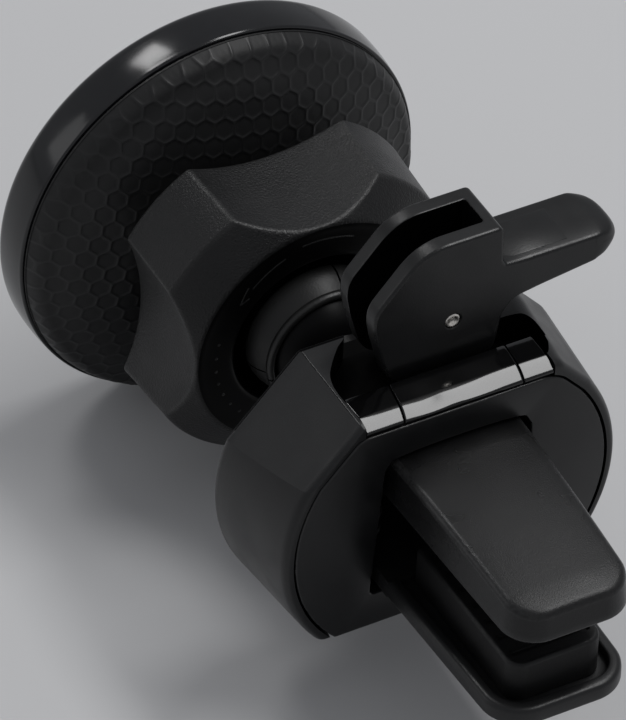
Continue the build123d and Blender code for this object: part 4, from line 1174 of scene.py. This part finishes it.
def pillow(hw, y0, y1, rtip, rows, spine_rows=8, x0=XJ, top_f=None, bot_f=None):
    """rows: (inset, z function of x and y) from the underside's edge, up the side and over to the top's edge.
    The underside and top are then closed towards the middle line with bot_f and top_f heights."""
    P = plan_outline(hw, y0, y1, rtip)
    Nn = normals2d(P)
    rings = []

    def spine(p):
        yy = min(max(p[1], y0), y1 - rtip * 1.2)
        return np.array([0.0, yy])

    def inset(d):
        Q = P + Nn * d
        Q[:, 1] = np.clip(Q[:, 1], y0, None)
        return Q

    first = inset(rows[0][0])
    last = inset(rows[-1][0])
    for t in np.linspace(1, 0, spine_rows + 1)[:-1]:
        Q = np.array([q + (spine(q) - q) * t for q in first])
        rings.append(np.c_[Q[:, 0] + x0, Q[:, 1], [bot_f(q[0], q[1]) for q in Q]])
    for d, zf in rows:
        Q = inset(d)
        rings.append(np.c_[Q[:, 0] + x0, Q[:, 1], [zf(q[0], q[1]) for q in Q]])
    for t in np.linspace(0, 1, spine_rows + 1)[1:]:
        Q = np.array([q + (spine(q) - q) * t for q in last])
        rings.append(np.c_[Q[:, 0] + x0, Q[:, 1], [top_f(q[0], q[1]) for q in Q]])
    n = len(P)
    verts = [tuple(p) for r in rings for p in r]
    faces = []
    m = len(rings)
    for k in range(m - 1):
        for i in range(n - 1):
            faces.append((k * n + i, k * n + i + 1, (k + 1) * n + i + 1, (k + 1) * n + i))
    # root face: the two open ends of every ring
    root = [k * n for k in range(m)] + [k * n + n - 1 for k in range(m - 1, -1, -1)]
    faces.append(tuple(root))
    # seams along the middle line, where the first and the last ring fold onto themselves
    me = bpy.data.meshes.new("pillow")
    me.from_pydata(verts, [], faces)
    bm = bmesh.new()
    bm.from_mesh(me)
    bmesh.ops.remove_doubles(bm, verts=bm.verts, dist=2e-4)
    bmesh.ops.dissolve_degenerate(bm, edges=bm.edges, dist=1e-5)
    bmesh.ops.recalc_face_normals(bm, faces=bm.faces)
    open_e = [e for e in bm.edges if len(e.link_faces) == 1]
    if open_e:
        bmesh.ops.holes_fill(bm, edges=open_e, sides=0)
        bmesh.ops.recalc_face_normals(bm, faces=bm.faces)
    bm.to_mesh(me)
    bm.free()
    return me


def build_jaws():
    UJ_Y, UJ_Z0 = 29.2, 3.9
    y0 = -2.2

    def lerp(a, b, y, ya=-2.3, yb=UJ_Y):
        return a + (b - a) * (y - ya) / (yb - ya)

    hw = lambda y: lerp(9.35, 8.25, y)

    def zedge(y):
        return lerp(10.12, 8.28, y)

    def top_f(x, y):
        w = lerp(8.3, 7.3, y)
        c = max(0.0, 1 - (x / w) ** 2)
        sy = min(1.0, max(0.0, (y + 2.3) / (UJ_Y + 2.3)))
        z = zedge(y) + lerp(0.46, 0.34, y) * c + 1.3 * sy * (1 - sy)
        t = max(0.0, (y - 24.5) / 4.7)
        return z - 0.42 * t * t

    z0 = UJ_Z0
    rows = []
    rb = 0.55
    for a in (0, 22, 45, 67, 90):
        t = math.radians(a)
        rows.append((rb * (1 - math.sin(t)) + 0.0, (lambda dz: (lambda x, y: z0 + dz))(rb * (1 - math.cos(t)))))
    draft = 0.36
    RT = 0.95
    for s in (0.25, 0.5, 0.75):
        rows.append((draft * s, (lambda s_: (lambda x, y: z0 + rb + (top_f(x, y) - RT - z0 - rb) * s_))(s)))
    for a in (0, 10, 20, 30, 42, 54, 66, 78, 88):
        t = math.radians(a)
        rows.append((draft + RT * (1 - math.cos(t)), (lambda q: (lambda x, y: top_f(x, y) - RT * (1 - q)))(math.sin(t))))
    me = pillow(hw, y0, UJ_Y, 4.6, rows, 9, top_f=top_f, bot_f=lambda x, y: z0)
    # grip ribs on the underside, cut as rounded grooves, and the slot that the core sits in
    cuts = []
    for k in range(7):
        yc = 14.0 + (k - 3) * 3.0
        g = fillet2d([(yc - 0.6, z0 - 0.6), (yc + 0.6, z0 - 0.6), (yc + 0.42, z0 + 0.45), (yc - 0.42, z0 + 0.45)],
                     [0, 0, 0.2, 0.2], 4)
        cuts.append(make_mesh("g", *prism(g, XJ - 6.5, XJ + 6.5, "x")))
    core = [(XJ + 7.3, -5.0), (XJ + 6.3, 24.1), (XJ + 3.0, 27.1), (XJ - 3.0, 27.1), (XJ - 6.3, 24.1), (XJ - 7.3, -5.0)]
    cuts.append(make_mesh("g", *prism(core, 5.35, 7.35, "z")))
    me = boolean(me, cuts)
    clean(me)
    finish_piece("upper_jaw_grip", me, SOFT, "clip", ["upper_jaw_sleeve"], sharp=34)

    # lower jaw tray
    LJ_Y, LT, LB = 28.6, -7.4, -9.9
    hwl = lambda y: 9.9 + (9.3 - 9.9) * (y - 4.0) / (LJ_Y - 5.5 - 4.0)
    rows = []
    rb = 0.5
    for a in (0, 22, 45, 67, 90):
        t = math.radians(a)
        rows.append((rb * (1 - math.sin(t)), (lambda z: (lambda x, y: z))(LB + rb * (1 - math.cos(t)))))
    ru = 0.75
    rows.append((0.02, lambda x, y: (LB + LT) / 2))
    for a in (0, 22, 45, 67, 90):
        t = math.radians(a)
        rows.append((0.04 + ru * (1 - math.cos(t)), (lambda z: (lambda x, y: z))(LT - ru * (1 - math.sin(t)))))
    w_in = 1.62
    for a in (90, 60, 30, 0):
        t = math.radians(a)
        rows.append((w_in - 0.25 * math.cos(t), (lambda z: (lambda x, y: z))(LT - 0.25 * (1 - math.sin(t)))))
    rows[-4:] = [(w_in - 0.25 + 0.25 * math.sin(math.radians(a)), (lambda z: (lambda x, y: z))(
        LT - 0.25 * (1 - math.cos(math.radians(a))))) for a in (0, 30, 60, 90)]
    fl = LB + 1.2
    rows.append((w_in + 0.03, lambda x, y: fl + 0.3))
    rows.append((w_in + 0.10, lambda x, y: fl + 0.1))
    rows.append((w_in + 0.30, lambda x, y: fl))
    me = pillow(hwl, 0.0, LJ_Y, 5.2, rows, 8, top_f=lambda x, y: fl, bot_f=lambda x, y: LB)
    # carriage inside the housing
    car = fillet2d([(XJ + 12.0, -13.4), (XJ + 12.0, -3.8), (XJ + 9.9, -3.8), (XJ + 9.9, 2.1), (XJ - 9.9, 2.1),
                    (XJ - 9.9, -3.8), (XJ - 12.0, -3.8), (XJ - 12.0, -13.4)], [0.6, 0.4, 0.3, 0, 0, 0.3, 0.4, 0.6], 3)
    cme = make_mesh("car", *prism(car, LB, LT, "z"))
    me = boolean(me, [cme], "UNION")
    me = boolean(me, [make_mesh("h", *prism(arc2d(PIN_X, PIN_Y, 1.1, 0, 360 * 23 / 24, 23), LB - 1, LT + 3, "z"))])
    clean(me)
    finish_piece("lower_jaw_tray", me, SATIN_TRAY, "jaw_slider", ["lower_jaw"], sharp=34)

    # ribbed pad in the tray
    PB, PT = LB + 1.25, -2.8
    hwp = lambda y: 6.5 - 0.1 * (y - 2.6) / 21.0

    def ptop(x, y):
        ph = (y - 14.0) / 3.0
        inr = abs(y - 14.0) < 10.6 and abs(x) < 5.6
        u = (ph - round(ph)) * 3.0
        g = 0.0
        if inr:
            g = 0.5 / (1 + (abs(u) / 0.5) ** 6) * min(1.0, (5.6 - abs(x)) / 0.5)
        return PT - g

    P_rows = []
    for a in (0, 45, 90):
        t = math.radians(a)
        P_rows.append((0.25 * (1 - math.sin(t)), (lambda z: (lambda x, y: z))(PB + 0.25 * (1 - math.cos(t)))))
    P_rows.append((0.04, lambda x, y: PB + 2.6))
    P_rows.append((0.08, lambda x, y: PT - 0.6))
    for a in (15, 35, 55, 75, 90):
        t = math.radians(a)
        P_rows.append((0.08 + 0.6 * (1 - math.cos(t)), (lambda q: (lambda x, y: PT - 0.6 * (1 - q)))(math.sin(t))))
    me = pillow(hwp, 2.6, 25.5, 2.2, P_rows, 10, top_f=lambda x, y: PT, bot_f=lambda x, y: PB)
    cuts = []
    for k in range(7):
        yc = 14.0 + (k - 3) * 3.0
        g = fillet2d([(yc - 0.62, PT + 0.6), (yc - 0.45, PT - 0.5), (yc + 0.45, PT - 0.5), (yc + 0.62, PT + 0.6)],
                     [0, 0.22, 0.22, 0], 4)
        cuts.append(make_mesh("g", *prism(g, XJ - 5.3, XJ + 5.3, "x")))
    me = boolean(me, cuts)
    clean(me)
    finish_piece("lower_jaw_grip", me, RUBBER, "jaw_slider", ["lower_jaw_pad"], sharp=34)


# ---------------------------------------------------------------------------
# cam lever and its pin
# ---------------------------------------------------------------------------
PROFILE = [(-6.3, 12.3), (2.3, 12.3), (4.6, 11.6), (6.3, 10.2), (10.2, 5.6), (10.8, 4.4), (10.85, 2.6), (10.3, -0.1),
           (8.8, -5.3), (7.6, -6.9), (4.3, -8.45), (-2.6, -8.45), (-6.0, -6.5), (-6.5, -4.0), (-6.8, -1.6), (-8.2, 0.35),
           (-12.0, 1.0), (-19.2, 2.0), (-21.6, 2.7), (-22.6, 4.2), (-21.9, 5.6), (-20.4, 6.2), (-6.9, 6.25), (-6.5, 7.2)]


def build_lever():
    radii = [0.9, 6.0, 6.0, 6.0, 3.2, 4.0, 4.0, 5.0, 4.0, 2.5, 1.6, 2.2, 1.4, 1.6, 3.0, 2.6, 5.0, 4.0, 2.0, 1.6, 1.3, 3.0,
             0.40, 0.5]
    prof = np.array(fillet2d([(PIN_X + x, PIN_Z + z) for x, z in PROFILE], radii, 7))
    # even out the points along the outline, keeping the tight corners' own points
    out = []
    for i in range(len(prof)):
        p, q = prof[i], prof[(i + 1) % len(prof)]
        L = float(np.linalg.norm(q - p))
        m = max(1, int(L / 0.8))
        if L < 1e-6:
            continue
        for k in range(m):
            out.append(p + (q - p) * k / m)
    P = np.array(out)
    area2 = float(np.sum(P[:, 0] * np.roll(P[:, 1], -1) - np.roll(P[:, 0], -1) * P[:, 1]))
    d0 = np.roll(P, -1, axis=0) - P
    d0 /= np.linalg.norm(d0, axis=1)[:, None]
    dm = d0 + np.roll(d0, 1, axis=0)
    dm /= np.linalg.norm(dm, axis=1)[:, None]
    nrm = np.c_[-dm[:, 1], dm[:, 0]] * (1 if area2 > 0 else -1)      # inward
    # a small edge rounding, so that offset points do not cross in the tight inner corner
    yc, rr = (LEVER_Y0 + LEVER_Y1) / 2, (LEVER_Y1 - LEVER_Y0) / 2
    xc = PIN_X - 22.6 + 3.2
    re = 0.42
    offs = [0.0, 0.012, 0.05, 0.11, 0.19, 0.29, re]
    ys = [LEVER_Y0 + o for o in offs] + [yc + rr * math.sin(math.radians(t)) for t in range(-60, 61, 6)] + [
        LEVER_Y1 - o for o in offs[::-1]]
    rings = []
    for y in ys:
        e = min(y - LEVER_Y0, LEVER_Y1 - y)
        ins = re - math.sqrt(max(re * re - (re - e) ** 2, 0.0)) if e < re else 0.0
        Q = P + nrm * ins
        sq = max(0.0, 1 - abs((y - yc) / rr) ** 2.7) ** (1 / 2.7)
        sq = max(sq, 0.02) * 1.30
        left = Q[:, 0] < xc
        Q[left, 0] = xc - (xc - Q[left, 0]) * sq
        # the tab's top falls a little towards its two sides and its tip
        tab = (Q[:, 0] < PIN_X - 7.2) & (Q[:, 1] > PIN_Z + 4.6)
        g = np.clip((PIN_X - 7.2 - Q[:, 0]) / 2.0, 0, 1)
        Q[tab, 1] -= (0.22 * abs((y - yc) / rr) ** 4 * g)[tab]
        rings.append([(q[0], y, q[1]) for q in Q])
    v, f = loft_rings(rings)
    me = make_mesh("lev", v, f)
    slot = fillet2d([(PIN_X - 4.55, PIN_Y - SLOT_W / 2), (20, PIN_Y - SLOT_W / 2), (20, PIN_Y + SLOT_W / 2),
                     (PIN_X - 4.55, PIN_Y + SLOT_W / 2)], [0.35, 0, 0, 0.35], 4)
    slot = make_mesh("sl", *prism(slot, 5, 45, "z"))
    hole = make_mesh("ho", *prism(arc2d(PIN_X, PIN_Z, 1.1, 0, 360 * 31 / 32, 31), -20, 0, "y"))
    me = boolean(me, [slot, hole])
    clean(me, 1e-3)
    me = bevel(me, 0.09, 2, 52, clamp=False)
    clean(me, 5e-4)
    # a narrow band inside each cheek's outline, so that the shading of the edge stays at the edge
    bm = bmesh.new()
    bm.from_mesh(me)
    bm.normal_update()
    for sgn in (1, -1):
        big = [f for f in bm.faces if f.normal.y * sgn > 0.9999 and f.calc_area() > 8.0]
        if big:
            bmesh.ops.inset_region(bm, faces=big, thickness=0.16, depth=0.0, use_even_offset=True, use_boundary=True)
    bm.to_mesh(me)
    bm.free()
    ob = finish_piece("lever_arm", me, [SATIN_LEVER, INNER_SHADE], "lever", ["cam_lever"], sharp=33)
    # painted shade: the slot's inner faces get the near-black material
    mi = []
    for p in ob.data.polygons:
        c, n_ = p.center / MM, p.normal
        ins_y = abs(c.y - PIN_Y) < SLOT_W / 2 + 0.03 and c.x > PIN_X - 4.6
        mi.append(1 if ins_y and (abs(n_.y) > 0.8 or n_.x > 0.8) and abs(c.y - PIN_Y) < SLOT_W / 2 + 0.03 else 0)
    ob.data.polygons.foreach_set("material_index", mi)
    # no edge lightening (rubbed wear and painted edge highlight) or glint on the rim of the pin hole, which would run
    # out across the cheek
    at = ob.data.attributes["wear_and_highlight"]
    for i, w in enumerate(ob.data.vertices):
        q = w.co / MM
        if math.hypot(q.x - PIN_X, q.z - PIN_Z) < 1.8:
            at.data[i].value = 0.0
    # thin raised plate on the tab, flush towards its near side
    z0 = PIN_Z + 6.25
    pf = [(-13.55, z0 - 0.8), (-13.55, z0 + 0.34), (-8.0, z0 - 0.04), (-7.6, z0 - 0.8)]
    pm = make_mesh("pd", *prism(pf, -18.45, -8.8, "x"))
    pm = bevel(pm, 0.09, 2, 40)
    finish_piece("lever_mark", pm, SATIN_LEVER, "lever", sharp=40)

    # pin with a dished, turned end
    pr = [(-15.5, 0.0), (-15.5, 0.85), (-15.45, 0.97), (-15.35, 1.04), (-15.2, 1.05), (-7.3, 1.05), (-7.12, 1.04),
          (-7.02, 0.97), (-6.97, 0.85), (-6.98, 0.62), (-7.06, 0.5), (-7.10, 0.3), (-7.11, 0.0)]
    v, f = revolve(pr, 64, zc=0.0, closed=False)
    v = [(x + PIN_X, y, z + PIN_Z) for x, y, z in v]
    finish_piece("pin_steel", make_mesh("pin", v, f), PIN, "jaw_slider", ["pivot_pin"], sharp=50, wear_and_highlight=False)


def build_collet():
    """Sprung socket: flange and threaded barrel, a matte band, a rolled bead at the mouth, three slits."""
    YBL = -35.0
    prof = [(-57.2, 0.0), (-57.2, 14.8), (-57.05, 15.0), (-55.85, 15.0), (-55.7, 14.85), (-55.7, 11.0), (-41.05, 11.0),
            (-40.8, 10.93), (-38.4, 9.60), (-37.6, 9.22), (-36.8, 9.06), (-36.0, 9.0), (-35.62, 9.0), (-35.42, 9.06),
            (-35.22, 9.24), (-34.95, 9.28), (-34.4, 9.24), (-33.8, 9.10), (-33.2, 8.88), (-32.7, 8.64), (-32.3, 8.42),
            (-31.95, 8.22), (-31.72, 8.08)]
    # bead: a roll about 1.2 mm wide, nearly a half circle, running over into the mouth
    for a in range(170, -106, -12):
        t = math.radians(a)
        prof.append((-30.95 + 0.64 * math.cos(t), 8.06 + 0.56 * math.sin(t)))
    # ball seat, then the pocket behind it
    for a in range(65, 129, 7):
        t = math.radians(a)
        prof.append((YBL + 8.62 * math.cos(t), 8.62 * math.sin(t)))
    prof += [(-40.54, 6.60), (-41.68, 7.97), (-42.2, 7.5), (-49.0, 7.5), (-49.0, 0.0)]
    v, f = revolve(prof, 256)
    me = make_mesh("collet", v, f)
    cuts = []
    for a in (-15, 105, 225):
        t = math.radians(a)
        c, s_ = math.cos(t), math.sin(t)
        q = [(5.0, -0.13), (16.0, -0.13), (16.0, 0.13), (5.0, 0.13)]
        cuts.append(make_mesh("sl", *prism([(x * c - z * s_, Z_HEAD + x * s_ + z * c) for x, z in q], -41.5, -29.0, "y")))
    me = boolean(me, cuts)
    clean(me)
    ob = finish_piece("collet_claws", me, [COLLET, INNER_SHADE], "head", ["socket_collet"], sharp=35)
    # painted shade: the inner faces, the slits' walls and the back get the near-black material
    mi = []
    for p in ob.data.polygons:
        c, n_ = p.center / MM, p.normal
        r = math.hypot(c.x, c.z - Z_HEAD)
        rad = Vector((c.x, 0, c.z - Z_HEAD)).normalized()
        side = abs(n_.y) < 0.5 and abs(n_.dot(rad)) < 0.3
        mi.append(1 if (n_.dot(rad) < -0.35 or side or r < 7.5 or c.y < -35.3) else 0)
    ob.data.polygons.foreach_set("material_index", mi)


build_disc()
build_dome()
build_collet()
build_nut()
build_housing()
build_plate()
build_trim()
build_jaws()
build_lever()

# the CAD nodes that stay
# painted shade: the magnet holder here and the jaw core and draw bar below sit inside or in shade and get the
# near-black material
paint("magnet_holder", INNER_SHADE)
paint("ring_magnets", MAGNET)
paint("yoke_ring", STEEL)
paint("head_screws", STEEL)
paint("ball_seat_pad", RUBBER)
paint("spring_washer", STEEL)
paint("ball_stud", BALL)
paint("housing_screws", STEEL)
paint("stud_screw", STEEL)
# painted shade on the jaw core and the draw bar
paint("upper_jaw_core", INNER_SHADE)
paint("draw_bar", INNER_SHADE)
paint("bar_screw", STEEL)
paint("return_springs", SPRING)

# ---------------------------------------------------------------------------
# floor, light, camera
# ---------------------------------------------------------------------------
FLOOR_Z = -27.9 * MM
S = 3.0
fl_me = bpy.data.meshes.new("floor")
fl_me.from_pydata([(-S, -S, FLOOR_Z), (S, -S, FLOOR_Z), (S, S, FLOOR_Z), (-S, S, FLOOR_Z)], [], [(0, 1, 2, 3)])
floor = bpy.data.objects.new("floor", fl_me)
bpy.context.scene.collection.objects.link(floor)
fm, nt, b = new_mat("floor_pale")
tc = nd(nt, "ShaderNodeTexCoord")
nz = nd(nt, "ShaderNodeTexNoise", Scale=6.0, Detail=2.0)
nt.links.new(tc.outputs["Object"], nz.inputs["Vector"])
nt.links.new(mixc(nt, nz.outputs[0], (0.56, 0.56, 0.565, 1), (0.60, 0.60, 0.605, 1)), b.inputs["Base Color"])
b.inputs["Roughness"].default_value = 0.85
b.inputs["Specular IOR Level"].default_value = 0.1
fl_me.materials.append(fm)


def area(name, az, el, dist, size, radiance, target=(0, -18, 0), size_y=None, col=(1, 1, 1)):
    d = Vector((math.cos(math.radians(el)) * math.cos(math.radians(az)),
                math.cos(math.radians(el)) * math.sin(math.radians(az)), math.sin(math.radians(el))))
    li = bpy.data.lights.new(name, "AREA")
    sy = size_y or size
    li.shape = "RECTANGLE"
    li.size, li.size_y = size, sy
    li.energy = radiance * math.pi * size * sy
    li.color = col
    ob = bpy.data.objects.new(name, li)
    bpy.context.scene.collection.objects.link(ob)
    ob.location = Vector(target) * MM + d * dist
    ob.rotation_mode = "QUATERNION"
    ob.rotation_quaternion = d.to_track_quat("Z", "Y")
    return ob


area("overhead", 180, 65.5, 0.965, 0.90, 8.2, target=(0, 38, 0), size_y=0.20)
area("rim", -78, 52, 1.0, 0.22, 9.0, size_y=0.20)
area("side", -30, 20, 1.3, 0.5, 0.8)

world = bpy.data.worlds.new("studio")
bpy.context.scene.world = world
world.use_nodes = True
bg = world.node_tree.nodes["Background"]
bg.inputs[0].default_value = (0.93, 0.95, 1.0, 1)
bg.inputs[1].default_value = 0.34

cam = bpy.data.cameras.new("camera")
cam.sensor_width = 36.0
cam.lens = 6757.845 * 36.0 / 720.0
cam.clip_start, cam.clip_end = 0.05, 20.0
cam_ob = bpy.data.objects.new("camera", cam)
bpy.context.scene.collection.objects.link(cam_ob)
right = Vector((-0.87689045, 0.47906597, 0.03948338))
up = Vector((-0.29604347, -0.60293985, 0.74082508))
back = Vector((0.37871019, 0.63793364, 0.67053655))
rot = Matrix((right, up, back)).transposed()
cam_ob.matrix_world = Matrix.Translation((0.31628117, 0.49833491, 0.55511644)) @ rot.to_4x4()
bpy.context.scene.camera = cam_ob
bpy.context.scene.view_settings.view_transform = "Standard"
